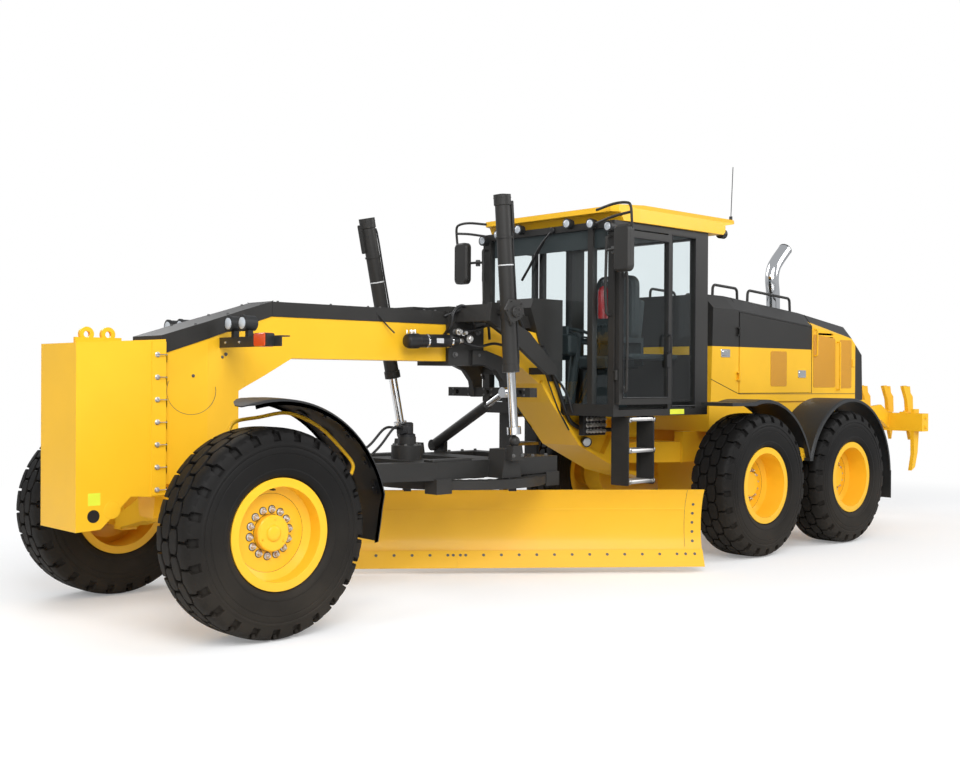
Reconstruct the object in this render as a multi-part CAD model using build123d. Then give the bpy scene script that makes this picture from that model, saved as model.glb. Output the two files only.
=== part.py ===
from build123d import *

import math
import os

# Motor grader, millimetres. +X forward, +Y left, +Z up, wheels on Z = 0.
# Stations along X are measured from the front axle; export() moves the whole machine so that
# the middle of its overall box is at X = 0.

# ---------------------------------------------------------------- driving sizes
FRONT_AXLE_X = 4195          # front axle's place once the box is centred
CENTRE_LINE_Y = -70          # the angled blade reaches further to the left
WHEELBASE = 6160             # front axle to tandem pivot
TANDEM_SPACING = 1540        # between the two wheels of a tandem
HALF_TRACK = 1079            # centre line to a wheel's middle plane
RUNNING_GAP = 5              # between pieces that move past each other
PIN_GAP = 0.5                # round a pin in its bore
SEAT_GAP = 0.3               # between curved faces that seat on each other

TYRE_RADIUS = 674
TYRE_HALF_WIDTH = 222
TREAD_HALF_WIDTH = 160
TYRE_LUGS = 20               # shoulder lugs round each side of the tread
NOTCH_HALF = 22
RIM_HALF_WIDTH = 193
RIM_SEAT_RADIUS = 318
RIM_FLANGE_RADIUS = 358
RIM_WALL = 16
RIM_FLANGE_WALL = 13
FRONT_DISC_FACE = 63         # outboard face of the front wheel's disc, from its middle plane
REAR_DISC_FACE = -27
DISC_WALL = 20
HUB_CAP_RADIUS = 117
HUB_CAP_REACH = 52
HUB_RADIUS = 150
SPINDLE_RADIUS = 55

# frame
BEAM_HALF_WIDTH = 160
BEAM_BOTTOM = 1805
BEAM_TOP = 2110              # where the yellow side meets the black cover
COVER_TOP = 2220
BEAM_KINK_X = -650           # the beam starts to fall towards the nose here
NOSE_HALF_WIDTH = 200
NOSE_FRONT_X = 260
NOSE_BACK_X = -370
NOSE_BOTTOM = 930
BLOCK_HALF_WIDTH = 270
BLOCK_FRONT_X = 890
EYE_ROWS = (700, 549)        # the two lifting eyes on the front weight
EYE_Z = 1945
EYE_RADIUS = 50
EYE_BORE = 22
EYE_HALF_WIDTH = 15
LEG_HALF_WIDTH = 210
NOSE_TAPER_X = (-100, -420)  # over this length the nose plates come in to the beam's width
LAMP_BAR_X = -200
LAMP_BAR_REACH = 965
LAMP_BAR_TOP = 1942
LAMP_ROWS = (340, 520)       # the two headlamps of a side, from the centre line
LAMP_Z = 2035
SIGNAL_Y = (690, 880)

# front axle
AXLE_PIVOT_Z = 760
AXLE_HALF_DEPTH = 110
AXLE_PIN_RADIUS = 45
LEAN_PIN_Y = 745
LEAN_PIN_Z = 600
LEAN_PIN_RADIUS = 28
KINGPIN_Y = 850
KINGPIN_RADIUS = 30
KNUCKLE_RADIUS = 62
KNUCKLE_HALF_HEIGHT = 120
FRONT_FENDER_RADIUS = 850
FENDER_WALL = 6
FENDER_LIP = 28              # how far a fender's rim is turned down
STEER_ARM_REACH = 250        # behind the kingpin

# drawbar, circle and blade
BALL_X = -400
BALL_Z = 950
BALL_RADIUS = 60
NECK_RADIUS = 34
CIRCLE_X = -2630
CIRCLE_RADIUS = 762
CIRCLE_BORE = 650
CIRCLE_TEETH = 48            # round the inside of the circle
CIRCLE_TOOTH = 26
PINION_X = -2075
PINION_RADIUS = 60
CIRCLE_BOTTOM = 775
CIRCLE_TOP = 850
DRAWBAR_BOTTOM = 856
DRAWBAR_TOP = 1000
SHOE_X = 620                 # the circle's shoes, ahead of and behind its centre
BLADE_ANGLE = 38.7           # between the blade and the machine's centre line, degrees
BLADE_LENGTH = 4267
BLADE_AHEAD = 110            # cutting edge ahead of the circle's axis
BLADE_BOTTOM = 55
BLADE_TOP = 715
BLADE_SAG = 120              # depth of the moldboard's curve
BLADE_WALL = 25
EDGE_WALL = 19
EDGE_HEIGHT = 152
TILT_BACK = 260              # tilt pin behind the cutting edge
TILT_Z = 300
TILT_PIN_RADIUS = 30
HANGER_U = 430               # the two hangers from the middle of the blade
HANGER_HALF = 30
RAIL_DEPTH = 45
RAIL_HALF_HEIGHT = 25
RAIL_ROWS = ((128, 300), (95, 560))   # front of rail behind the edge line, height

# lift cylinders
LIFT_Y = 720
LIFT_BARREL_RADIUS = 62
LIFT_ROD_RADIUS = 36
LIFT_TRUNNION_Z = 2200
LIFT_BALL_Z = 1175
LIFT_BALL_X = -2610
LIFT_BALL_RADIUS = 45
EYE_OPEN_GAP = 18            # left where a cylinder's linkage is opened
LIFT_BARREL_LENGTH = 1420
SADDLE_CRANK_Y = 400         # inner face of the slanting crank plates
LIFT_ROD_INSIDE = 890        # rod inside the barrel as it stands

# cab
CAB_FRONT_X = -3720
CAB_BACK_X = -5076
CAB_HALF_WIDTH = 820
CAB_BOTTOM = 1335
CAB_TOP = 3050
CAB_POST = 70
CAB_GLASS = 8
DOOR_BACK_X = -4470
DOOR_BOTTOM = 1440
DOOR_TOP = 2970
DOOR_WALL = 40
DOOR_HINGE_X = -3722
DOOR_HINGE_Y = 845
DOOR_HINGE_ROWS = (1700, 2650)
ROOF_TOP = 3218
ROOF_HALF_WIDTH = 850
CAB_LAMPS = ((310, 3055), (589, 3030), (795, 2990))   # work lamps: from the centre line, height
REAR_LAMP = (-5450, 700, 3085)

# rear frame
HITCH_X = -4750
HITCH_PIN_RADIUS = 60
HOOD_FRONT_X = -5463
HOOD_BACK_X = -8373
HOOD_HALF_WIDTH = 580
HOOD_BOTTOM = 1510
HOOD_WALL = 25
HOOD_CHAMFER = 140           # slope between the hood's top and its sides
DOOR_SEAM = (-5940, -7275)   # front and back edge of an engine side door
COOLER_DOORS = ((-7395, -7760), (-7880, -8110))   # front and back of each grille
SIDE_HINGE_X = -5922
SIDE_HINGE_Y = 600
SIDE_HINGE_ROWS = (1700, 2150)
EXHAUST_X = -7200
EXHAUST_Y = 150
EXHAUST_RADIUS = 67
ENGINE_TOP = 2150
TANDEM_INNER_Y = 620
TANDEM_OUTER_Y = 830
REAR_FENDER_RADIUS = 800
RIPPER_PIVOT_X = -8690
RIPPER_PIVOT_Z = 1300
RIPPER_PIN_RADIUS = 22

TANDEM_X = -WHEELBASE
AXLE_Z = TYRE_RADIUS


# ---------------------------------------------------------------- small helpers
def block(x0, x1, y0, y1, z0, z1):
    centre = ((x0 + x1) / 2, (y0 + y1) / 2, (z0 + z1) / 2)
    return Pos(*centre) * Box(abs(x1 - x0), abs(y1 - y0), abs(z1 - z0))


def plate_xz(points, y0, y1):
    """An outline of (x, z) points, pushed along Y from y0 to y1."""
    outline = Polyline(*[(x, y0, z) for x, z in points], close=True)
    return extrude(make_face(outline), amount=y1 - y0, dir=(0, 1, 0))


def plate_xy(points, z0, z1):
    outline = Polyline(*[(x, y, z0) for x, y in points], close=True)
    return extrude(make_face(outline), amount=z1 - z0, dir=(0, 0, 1))


def plate_yz(points, x0, x1):
    outline = Polyline(*[(x0, y, z) for y, z in points], close=True)
    return extrude(make_face(outline), amount=x1 - x0, dir=(1, 0, 0))


def bar(start, end, radius):
    way = Vector(*end) - Vector(*start)
    return Solid.make_cylinder(radius, way.length, Plane(origin=start, z_dir=way))


def pipe(points, bend, radius):
    path = FilletPolyline(*points, radius=bend)
    start = Plane(origin=points[0], z_dir=path % 0)
    return sweep(start * Circle(radius), path=path)


def both(shape):
    """The shape and its copy on the other side of the machine."""
    return shape + mirror(shape, Plane.XZ)


def on_side(shape, side):
    return shape if side > 0 else mirror(shape, Plane.XZ)


def fuse(*shapes):
    whole = shapes[0]
    for shape in shapes[1:]:
        whole = whole + shape
    return whole


def ring_y(profile):
    """A closed outline of (y, radius) points, turned about the Y axis."""
    outline = Polyline(*[(0, y, r) for y, r in profile], close=True)
    return revolve(make_face(outline), axis=Axis.Y)


def export(name, shape):
    moved = Pos(FRONT_AXLE_X, CENTRE_LINE_Y, 0) * shape
    solids = moved.solids()
    body = solids[0] if len(solids) == 1 else Compound(solids)
    export_step(body, f"parts/{name}.step")


HINGE_RADIUS = 14
HINGE_PIN_RADIUS = 7
HINGE_HALF_HEIGHT = 30
HINGE_LUG = 14


def hinge_fixed(x, y, z, tab):
    """The standing half of an upright hinge: pin, two lugs and their tabs; tab is (x0, x1, y0, y1)."""
    half, reach = HINGE_HALF_HEIGHT, HINGE_HALF_HEIGHT + HINGE_LUG
    pin = bar((x, y, z - reach), (x, y, z + reach), HINGE_PIN_RADIUS)
    lugs = [
        bar((x, y, z0), (x, y, z1), HINGE_RADIUS) + block(*tab, z0, z1)
        for z0, z1 in ((z - reach, z - half - SEAT_GAP), (z + half + SEAT_GAP, z + reach))
    ]
    return fuse(pin, *lugs)


def hinge_moving(x, y, z, tab):
    """The swinging half: the barrel round the pin and its tab."""
    low, high = z - HINGE_HALF_HEIGHT, z + HINGE_HALF_HEIGHT
    barrel = bar((x, y, low), (x, y, high), HINGE_RADIUS) + block(*tab, low, high)
    return barrel - bar((x, y, low - 5), (x, y, high + 5), HINGE_PIN_RADIUS + PIN_GAP)


# ---------------------------------------------------------------- wheels
def tyre():
    """Carcass with a smooth tread band, notched between the shoulder lugs of both sides."""
    bead = RIM_SEAT_RADIUS + SEAT_GAP
    inside = RIM_HALF_WIDTH - RIM_FLANGE_WALL - SEAT_GAP
    half = [
        (inside, bead),
        (inside, RIM_FLANGE_RADIUS + SEAT_GAP),
        (RIM_HALF_WIDTH, RIM_FLANGE_RADIUS + 8),
        (TYRE_HALF_WIDTH, 450),
        (TYRE_HALF_WIDTH, 540),
        (TREAD_HALF_WIDTH + 42, 640),
        (TREAD_HALF_WIDTH, TYRE_RADIUS - 5),
        (TREAD_HALF_WIDTH - 60, TYRE_RADIUS),
    ]
    body = ring_y(half + [(-y, r) for y, r in reversed(half)])
    notches = []
    for side, offset in ((1, 0.0), (-1, 0.5)):
        for number in range(TYRE_LUGS):
            turn = Rot(0, (number + offset) * 360 / TYRE_LUGS, 0)
            notches.append(turn * block(-NOTCH_HALF, NOTCH_HALF, side * 95, side * 260, 610, 720))
    return body.cut(*notches)


def rim(disc_face):
    """The rim, its disc and the hub, with the outboard side towards +Y."""
    flange_inside = RIM_HALF_WIDTH - RIM_FLANGE_WALL
    barrel_inside = RIM_SEAT_RADIUS - RIM_WALL
    barrel = ring_y([
        (RIM_HALF_WIDTH, barrel_inside), (RIM_HALF_WIDTH, RIM_FLANGE_RADIUS),
        (flange_inside, RIM_FLANGE_RADIUS), (flange_inside, RIM_SEAT_RADIUS),
        (-flange_inside, RIM_SEAT_RADIUS), (-flange_inside, RIM_FLANGE_RADIUS),
        (-RIM_HALF_WIDTH, RIM_FLANGE_RADIUS), (-RIM_HALF_WIDTH, barrel_inside),
    ])
    back = disc_face - DISC_WALL
    bore = SPINDLE_RADIUS + PIN_GAP
    hub_back = -150
    disc = ring_y([
        (disc_face, 0), (disc_face, 250), (disc_face + 25, barrel_inside),
        (disc_face + 5, barrel_inside), (back, 255), (back, HUB_RADIUS),
        (hub_back, HUB_RADIUS), (hub_back, bore), (back, bore), (back, 0),
    ])
    cap = ring_y([
        (disc_face - 1, 0), (disc_face + HUB_CAP_REACH, 0),
        (disc_face + HUB_CAP_REACH, HUB_CAP_RADIUS - 8),
        (disc_face + HUB_CAP_REACH - 8, HUB_CAP_RADIUS), (disc_face - 1, HUB_CAP_RADIUS),
    ])
    return barrel + disc + cap


# ---------------------------------------------------------------- front main frame
def cover_line(x):
    """Height of the join of yellow side and black cover along the falling nose."""
    slope = (BEAM_TOP - 1815) / (NOSE_FRONT_X - BEAM_KINK_X)
    return BEAM_TOP - slope * max(0, x - BEAM_KINK_X)


def nose_plan(extra=0):
    """Plan outline of the nose and beam: the side plates come in from the nose's width to the beam's."""
    wide, slim = NOSE_HALF_WIDTH + extra, BEAM_HALF_WIDTH + extra
    front, back = NOSE_TAPER_X
    edge = [(NOSE_FRONT_X, wide), (front, wide), (back, slim), (-3450, slim)]
    return edge + [(x, -y) for x, y in reversed(edge)]


def main_frame():
    beam = plate_xz([
        (BEAM_KINK_X, BEAM_TOP), (NOSE_FRONT_X, cover_line(NOSE_FRONT_X)),
        (NOSE_FRONT_X, NOSE_BOTTOM), (NOSE_BACK_X, NOSE_BOTTOM), (NOSE_BACK_X, 1565),
        (-590, 1675), (-830, BEAM_BOTTOM), (-3000, BEAM_BOTTOM), (-3250, 1740),
        (-3250, BEAM_TOP),
    ], -NOSE_HALF_WIDTH, NOSE_HALF_WIDTH) & plate_xy(nose_plan(), NOSE_BOTTOM - 10, BEAM_TOP + 10)
    leg = plate_xz([
        (-3100, BEAM_TOP), (-3500, BEAM_TOP - 60), (-3700, 1640), (-3700, CAB_BOTTOM),
        (-4880, CAB_BOTTOM), (-4880, 1110), (-4560, 1110), (-4460, 1050), (-4460, 820),
        (-4880, 760), (-4880, 700), (-4530, 785), (-3930, 1052), (-3550, 1450),
        (-3420, 1620), (-3200, 1760), (-3000, BEAM_BOTTOM),
    ], -LEG_HALF_WIDTH, LEG_HALF_WIDTH)
    window = both(plate_xz([(-3950, 1290), (-4420, 1290), (-4420, 1130), (-4300, 960), (-4120, 1010)],
                           LEG_HALF_WIDTH - 60, LEG_HALF_WIDTH + 10))
    belly = plate_xz([
        (-4880, 700), (-4530, 785), (-3930, 1052), (-3550, 1450), (-3420, 1620), (-3438, 1648),
        (-3572, 1469), (-3946, 1079), (-4537, 813), (-4880, 729),
    ], -LEG_HALF_WIDTH - 25, LEG_HALF_WIDTH + 25)
    pin = bar((HITCH_X, 0, 705), (HITCH_X, 0, 1200), HITCH_PIN_RADIUS)
    lug_gap = AXLE_HALF_DEPTH + 35 + RUNNING_GAP
    lugs = [
        plate_yz([(-150, 1000), (150, 1000), (100, 690), (-100, 690)], x0, x1)
        for x0, x1 in ((lug_gap, NOSE_FRONT_X), (NOSE_BACK_X, -lug_gap))
    ]
    axle_pin = bar((NOSE_BACK_X, 0, AXLE_PIVOT_Z), (NOSE_FRONT_X, 0, AXLE_PIVOT_Z), AXLE_PIN_RADIUS)
    socket = block(BALL_X - 30, NOSE_BACK_X + 10, -85, 85, BALL_Z - 85, BALL_Z + 85)
    cup = Pos(BALL_X, 0, BALL_Z) * Sphere(BALL_RADIUS + PIN_GAP)
    return fuse(beam, leg - window, belly, pin, *lugs, axle_pin, socket) - cup


def frame_cover():
    """Folded sheet over the beam's hoses; its upper corners are bevelled."""
    front_top = cover_line(NOSE_FRONT_X) + 130
    side = plate_xz([
        (-3450, BEAM_TOP), (-3450, COVER_TOP), (BEAM_KINK_X, COVER_TOP), (NOSE_FRONT_X, front_top),
        (NOSE_FRONT_X, cover_line(NOSE_FRONT_X)), (BEAM_KINK_X, BEAM_TOP),
    ], -NOSE_HALF_WIDTH - 10, NOSE_HALF_WIDTH + 10)
    cover = side & plate_xy(nose_plan(6), 1700, COVER_TOP + 10)
    notch = block(-3460, -3100, -BEAM_HALF_WIDTH - 10, BEAM_HALF_WIDTH + 10, BEAM_TOP - 80, BEAM_TOP)
    return cover - notch


def nose_weight():
    side = [
        (BLOCK_FRONT_X, 660), (BLOCK_FRONT_X, 1880), (NOSE_FRONT_X, 1917), (NOSE_FRONT_X, 860),
        (330, 855), (510, 870), (720, 667),
    ]
    body = plate_xz(side, -BLOCK_HALF_WIDTH, BLOCK_HALF_WIDTH)
    flange = both(block(NOSE_FRONT_X, NOSE_FRONT_X + 105, BLOCK_HALF_WIDTH - 1, BLOCK_HALF_WIDTH + 8, 865, 1900))
    tie_holes = both(bar((640, BLOCK_HALF_WIDTH - 60, 790), (640, BLOCK_HALF_WIDTH + 20, 790), 45))
    low_x, high_x = EYE_ROWS[1] - 95, EYE_ROWS[0] + 80
    eyes = block(low_x, high_x, -EYE_HALF_WIDTH, EYE_HALF_WIDTH, 1870, EYE_Z - 20)
    for x in EYE_ROWS:
        eyes = eyes + bar((x, -EYE_HALF_WIDTH, EYE_Z), (x, EYE_HALF_WIDTH, EYE_Z), EYE_RADIUS)
    for x in EYE_ROWS:
        eyes = eyes - bar((x, -EYE_HALF_WIDTH - 5, EYE_Z), (x, EYE_HALF_WIDTH + 5, EYE_Z), EYE_BORE)
    return fuse(body, flange, eyes) - tie_holes


# ---------------------------------------------------------------- saddle and cylinders
def lift_line(side):
    """Where the lift cylinder's centre line crosses the top and the ball: (x, z) pairs."""
    top_x = -2455 if side > 0 else -2200
    top_z = 3135 if side > 0 else 3055
    return (top_x, top_z), (LIFT_BALL_X, LIFT_BALL_Z)


def lift_point(side, z):
    (top_x, top_z), (ball_x, ball_z) = lift_line(side)
    share = (z - ball_z) / (top_z - ball_z)
    return (ball_x + share * (top_x - ball_x), side * LIFT_Y, z)


def saddle():
    """Yoke round the beam: trunnion arms for the lift cylinders, side plates and the link bar below."""
    clamp = block(-2750, -2350, -BEAM_HALF_WIDTH - 40, BEAM_HALF_WIDTH + 40, 1770, COVER_TOP + 40)
    hole = block(-2760, -2340, -BEAM_HALF_WIDTH - 7, BEAM_HALF_WIDTH + 7, BEAM_BOTTOM, COVER_TOP)
    parts = []
    for side in (1, -1):
        x, y, z = lift_point(side, LIFT_TRUNNION_Z)
        inner = BEAM_HALF_WIDTH + 40
        lug_y = LIFT_Y - LIFT_BARREL_RADIUS - RUNNING_GAP - 30
        arm = plate_xz([(x - 130, 2130), (x + 110, 2130), (x + 90, 2270), (x - 90, 2270)],
                       inner - 5, lug_y - 50)
        lug = plate_xz([(x - 110, 2130), (x, 2080), (x + 110, 2130), (x + 85, 2280), (x - 85, 2280)],
                       lug_y - 50, lug_y)
        bore = bar((x, lug_y - 60, z), (x, lug_y + 5, z), 26)
        crank = plate_xz([(x - 120, 2230), (x - 20, 2140), (-2900, 1960), (-3290, 1700), (-3400, 1700),
                          (-3400, 1760), (-3060, 2060)], SADDLE_CRANK_Y, SADDLE_CRANK_Y + 45)
        foot = block(-3400, -3290, LEG_HALF_WIDTH + SEAT_GAP, SADDLE_CRANK_Y + 45, 1700, 1760)
        parts.append(on_side(arm + lug - bore + crank + foot, side))
    legs = both(plate_xz([(-3080, 1500), (-2990, 1500), (-2960, 1640), (-2880, 1730), (-2740, 1780),
                          (-2600, 1780), (-2600, 1900), (-2760, 1900), (-2940, 1850), (-3050, 1740),
                          (-3080, 1650)], 167, 225))
    link = bar((-3035, -520, 1545), (-3035, 520, 1545), 40) + block(-3075, -2990, -520, 520, 1505, 1585)
    for y in (-400, -200, 0, 200, 400):
        link = link - bar((-3090, y, 1545), (-2980, y, 1545), 22)
    return fuse(clamp - hole, *parts, legs, link)


def lift_axis(side):
    """Top of the barrel and the direction down the cylinder."""
    (top_x, top_z), (ball_x, ball_z) = lift_line(side)
    top = Vector(top_x, side * LIFT_Y, top_z)
    return top, (Vector(ball_x, side * LIFT_Y, ball_z) - top).normalized()


def lift_barrel(side):
    top, way = lift_axis(side)
    trunnion = Vector(*lift_point(side, LIFT_TRUNNION_Z))
    reach = (trunnion - top).length
    collar = Solid.make_cylinder(LIFT_BARREL_RADIUS + 4, 120, Plane(origin=top + way * (reach - 60), z_dir=way))
    barrel = Solid.make_cylinder(LIFT_BARREL_RADIUS, LIFT_BARREL_LENGTH, Plane(origin=top, z_dir=way)) + collar
    bore = Solid.make_cylinder(LIFT_ROD_RADIUS + PIN_GAP, LIFT_BARREL_LENGTH, Plane(origin=top + way * 60, z_dir=way))
    inner = side * (LIFT_Y - LIFT_BARREL_RADIUS - RUNNING_GAP - 68)
    pin = bar((trunnion.X, inner, trunnion.Z), (trunnion.X, side * (LIFT_Y - LIFT_ROD_RADIUS - 4), trunnion.Z), 25.5)
    rings = [
        Solid.make_cylinder(LIFT_BARREL_RADIUS + 8, length, Plane(origin=top + way * start, z_dir=way))
        for start, length in ((0, 45), (330, 16), (LIFT_BARREL_LENGTH - 60, 60))
    ]
    return fuse(barrel, *rings) - bore + pin


def lift_rod(side):
    top, way = lift_axis(side)
    ball_top = Vector(*lift_point(side, LIFT_BALL_Z - 20 + LIFT_BALL_RADIUS + EYE_OPEN_GAP))
    start = top + way * (LIFT_BARREL_LENGTH - LIFT_ROD_INSIDE)
    length = (ball_top - start).length
    rod = Solid.make_cylinder(LIFT_ROD_RADIUS, length, Plane(origin=start, z_dir=way))
    cap = Solid.make_cylinder(58, 60, Plane(origin=ball_top - way * 55, z_dir=way))
    return rod + cap


SHIFT_FOOT = (-2850, -560, 1060)
SHIFT_HEAD = (-2870, 330, 1545)
SHIFT_BARREL_END = 780       # from the foot's pin
SHIFT_ROD_START = 275


def shift_direction():
    return (Vector(*SHIFT_HEAD) - Vector(*SHIFT_FOOT)).normalized()


def shift_barrel():
    foot = Vector(*SHIFT_FOOT)
    way = shift_direction()
    barrel = Solid.make_cylinder(45, SHIFT_BARREL_END - 45, Plane(origin=foot + way * 45, z_dir=way))
    bore = Solid.make_cylinder(25.5, SHIFT_BARREL_END, Plane(origin=foot + way * 95, z_dir=way))
    x, y, z = SHIFT_FOOT
    eye = bar((x - 25, y, z), (x + 25, y, z), 50)
    return (barrel - bore) + eye - bar((x - 30, y, z), (x + 30, y, z), 20.5)


def shift_rod():
    foot = Vector(*SHIFT_FOOT)
    head = Vector(*SHIFT_HEAD)
    way = shift_direction()
    length = (head - foot).length
    rod = Solid.make_cylinder(25, length - 30 - SHIFT_ROD_START, Plane(origin=foot + way * SHIFT_ROD_START, z_dir=way))
    x, y, z = SHIFT_HEAD
    eye = bar((x - 25, y, z), (x + 25, y, z), 45)
    return rod + eye


# ---------------------------------------------------------------- drawbar, circle, blade
def drawbar_ball():
    return Pos(BALL_X, 0, BALL_Z) * Sphere(BALL_RADIUS)


def drawbar():
    rails = both(plate_xy([
        (BALL_X - 140, 0), (BALL_X - 140, 80), (-1950, 520), (-3330, 520), (-3330, 380),
        (-2000, 380), (-900, 90), (-900, 0),
    ], DRAWBAR_BOTTOM, DRAWBAR_TOP))
    cross = [
        block(x0, x1, -500, 500, DRAWBAR_BOTTOM, DRAWBAR_TOP)
        for x0, x1 in ((-2170, -1900), (-3330, -3180), (-2760, -2500))
    ]
    neck = bar((BALL_X - 40, 0, BALL_Z), (BALL_X - 160, 0, BALL_Z), NECK_RADIUS)
    neck = neck - Pos(BALL_X, 0, BALL_Z) * Sphere(BALL_RADIUS + SEAT_GAP)
    brackets = both(
        plate_xz([(-2720, DRAWBAR_BOTTOM), (-2500, DRAWBAR_BOTTOM), (-2540, 1090), (-2680, 1090)],
                 500, LIFT_Y - 30)
        + plate_xz([(-2680, 1000), (-2540, 1000), (-2560, 1120), (-2660, 1120)],
                   LIFT_Y - 40, LIFT_Y + 40)
        + Pos(LIFT_BALL_X, LIFT_Y, LIFT_BALL_Z - 20) * Sphere(LIFT_BALL_RADIUS)
    )
    shoes = []
    keep = bar((CIRCLE_X, 0, CIRCLE_BOTTOM - SEAT_GAP), (CIRCLE_X, 0, CIRCLE_TOP + SEAT_GAP), CIRCLE_RADIUS + SEAT_GAP)
    free = bar((CIRCLE_X, 0, CIRCLE_BOTTOM - 60), (CIRCLE_X, 0, CIRCLE_TOP + SEAT_GAP), CIRCLE_RADIUS - 60)
    for dx in (-SHOE_X, SHOE_X):
        for y0, y1 in ((400, 545), (-545, -400)):
            shoe = block(CIRCLE_X + dx - 80, CIRCLE_X + dx + 80, y0, y1, CIRCLE_BOTTOM - 28, DRAWBAR_BOTTOM + 10)
            shoes.append(shoe - keep - free)
    x, y, z = SHIFT_FOOT
    shift_lug = block(x - 96, x - 56, y - 60, -480, DRAWBAR_BOTTOM + 20, z + 50)
    shift_pin = bar((x - 96, y, z), (x + 25, y, z), 20)
    gearbox = (bar((PINION_X, 0, DRAWBAR_TOP - 10), (PINION_X, 0, DRAWBAR_TOP + 110), 130)
               + bar((PINION_X, 0, DRAWBAR_TOP + 100), (PINION_X, 0, DRAWBAR_TOP + 180), 75)
               + bar((PINION_X, 0, CIRCLE_BOTTOM + 10), (PINION_X, 0, DRAWBAR_BOTTOM + 10), PINION_RADIUS))
    return fuse(rails, *cross, *shoes, neck, brackets, shift_lug, shift_pin, gearbox)


def circle():
    outer = Solid.make_cylinder(CIRCLE_RADIUS, CIRCLE_TOP - CIRCLE_BOTTOM,
                                Plane(origin=(CIRCLE_X, 0, CIRCLE_BOTTOM)))
    teeth = []
    for number in range(CIRCLE_TEETH):
        for share, radius in ((0.0, CIRCLE_BORE), (0.4, CIRCLE_BORE), (0.55, CIRCLE_BORE - CIRCLE_TOOTH),
                              (0.85, CIRCLE_BORE - CIRCLE_TOOTH)):
            angle = 2 * math.pi * (number + share) / CIRCLE_TEETH
            teeth.append((CIRCLE_X + radius * math.cos(angle), radius * math.sin(angle)))
    ring = outer - plate_xy(teeth, CIRCLE_BOTTOM - 50, CIRCLE_TOP + 50)
    web = [blade_place() * block(u - HANGER_HALF, u + HANGER_HALF, -620, 400, CIRCLE_BOTTOM - 32, CIRCLE_BOTTOM + 3)
           for u in (-HANGER_U, HANGER_U)]
    hanger = [
        blade_place() * plate_yz([
            (-TILT_BACK - 300, CIRCLE_BOTTOM), (-110, CIRCLE_BOTTOM), (-120, 750), (-205, 600),
            (-205, TILT_Z), (-TILT_BACK + 20, TILT_Z - 60), (-TILT_BACK - 20, TILT_Z - 60),
            (-TILT_BACK - 60, TILT_Z),
        ], u - HANGER_HALF, u + HANGER_HALF) for u in (-HANGER_U, HANGER_U)
    ]
    whole = fuse(ring, *web, *hanger)
    for u in (-HANGER_U, HANGER_U):
        whole = whole - blade_place() * bar((u - 40, -TILT_BACK, TILT_Z), (u + 40, -TILT_BACK, TILT_Z),
                                            TILT_PIN_RADIUS + PIN_GAP)
    return whole


def blade_place():
    """From the blade's own axes (x to its right end, y forward, z up) to the machine's."""
    forward = (math.sin(math.radians(BLADE_ANGLE)), math.cos(math.radians(BLADE_ANGLE)))
    origin = (CIRCLE_X + BLADE_AHEAD * forward[0], BLADE_AHEAD * forward[1], 0)
    return Location(Plane(origin=origin, x_dir=(forward[1], -forward[0], 0), z_dir=(0, 0, 1)))


MOLDBOARD_FOOT = BLADE_BOTTOM + 20
MOLDBOARD_ARC = ((-8, MOLDBOARD_FOOT), (-BLADE_SAG, (BLADE_BOTTOM + BLADE_TOP) / 2), (0, BLADE_TOP))


def moldboard_section():
    """Outline of the curved plate: an arc through its foot, its deepest point and its top."""
    low, middle, high = [(0, y, z) for y, z in MOLDBOARD_ARC]
    back_low, back_middle, back_high = [(0, y - BLADE_WALL, z) for y, z in MOLDBOARD_ARC]
    front = ThreePointArc(low, middle, high)
    back = ThreePointArc(back_high, back_middle, back_low)
    return make_face([front, Line(high, back_high), back, Line(back_low, low)])


def moldboard():
    half = BLADE_LENGTH / 2
    plate = Pos(-half, 0, 0) * extrude(moldboard_section(), amount=BLADE_LENGTH, dir=(1, 0, 0))
    rails = [
        block(-half + 150, half - 150, -y - RAIL_DEPTH, -y, z - RAIL_HALF_HEIGHT, z + RAIL_HALF_HEIGHT)
        for y, z in RAIL_ROWS
    ]
    return blade_place() * fuse(plate, *rails)


def moldboard_front(z):
    """How far the curved face lies from the edge line at height z."""
    (ay, az), (by, bz), (cy, cz) = MOLDBOARD_ARC
    d = 2 * (ay * (bz - cz) + by * (cz - az) + cy * (az - bz))
    a2, b2, c2 = ay**2 + az**2, by**2 + bz**2, cy**2 + cz**2
    centre_y = (a2 * (bz - cz) + b2 * (cz - az) + c2 * (az - bz)) / d
    centre_z = (a2 * (cy - by) + b2 * (ay - cy) + c2 * (by - ay)) / d
    radius = math.hypot(ay - centre_y, az - centre_z)
    return centre_y - math.sqrt(radius**2 - (z - centre_z)**2)


def cutting_edge():
    """Two flat edges that meet in the middle, seated across the foot of the curved face."""
    half = BLADE_LENGTH / 2
    low, high = MOLDBOARD_FOOT, MOLDBOARD_FOOT + 115
    foot = Vector(0, moldboard_front(low) + SEAT_GAP, low)
    head = Vector(0, moldboard_front(high) + SEAT_GAP, high)
    up = (head - foot).normalized()
    out = Vector(0, up.Z, -up.Y)
    tip = foot - up * ((foot.Z - BLADE_BOTTOM) / up.Z)
    top = tip + up * EDGE_HEIGHT
    corners = [tip, top, top + out * EDGE_WALL, tip + out * EDGE_WALL + up * (EDGE_WALL * -up.Y / up.Z * -1)]
    section = [(c.Y, c.Z) for c in corners]
    edges = [plate_yz(section, x0, x1) for x0, x1 in ((-half, -SEAT_GAP), (SEAT_GAP, half))]
    return blade_place() * (edges[0] + edges[1])


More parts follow.
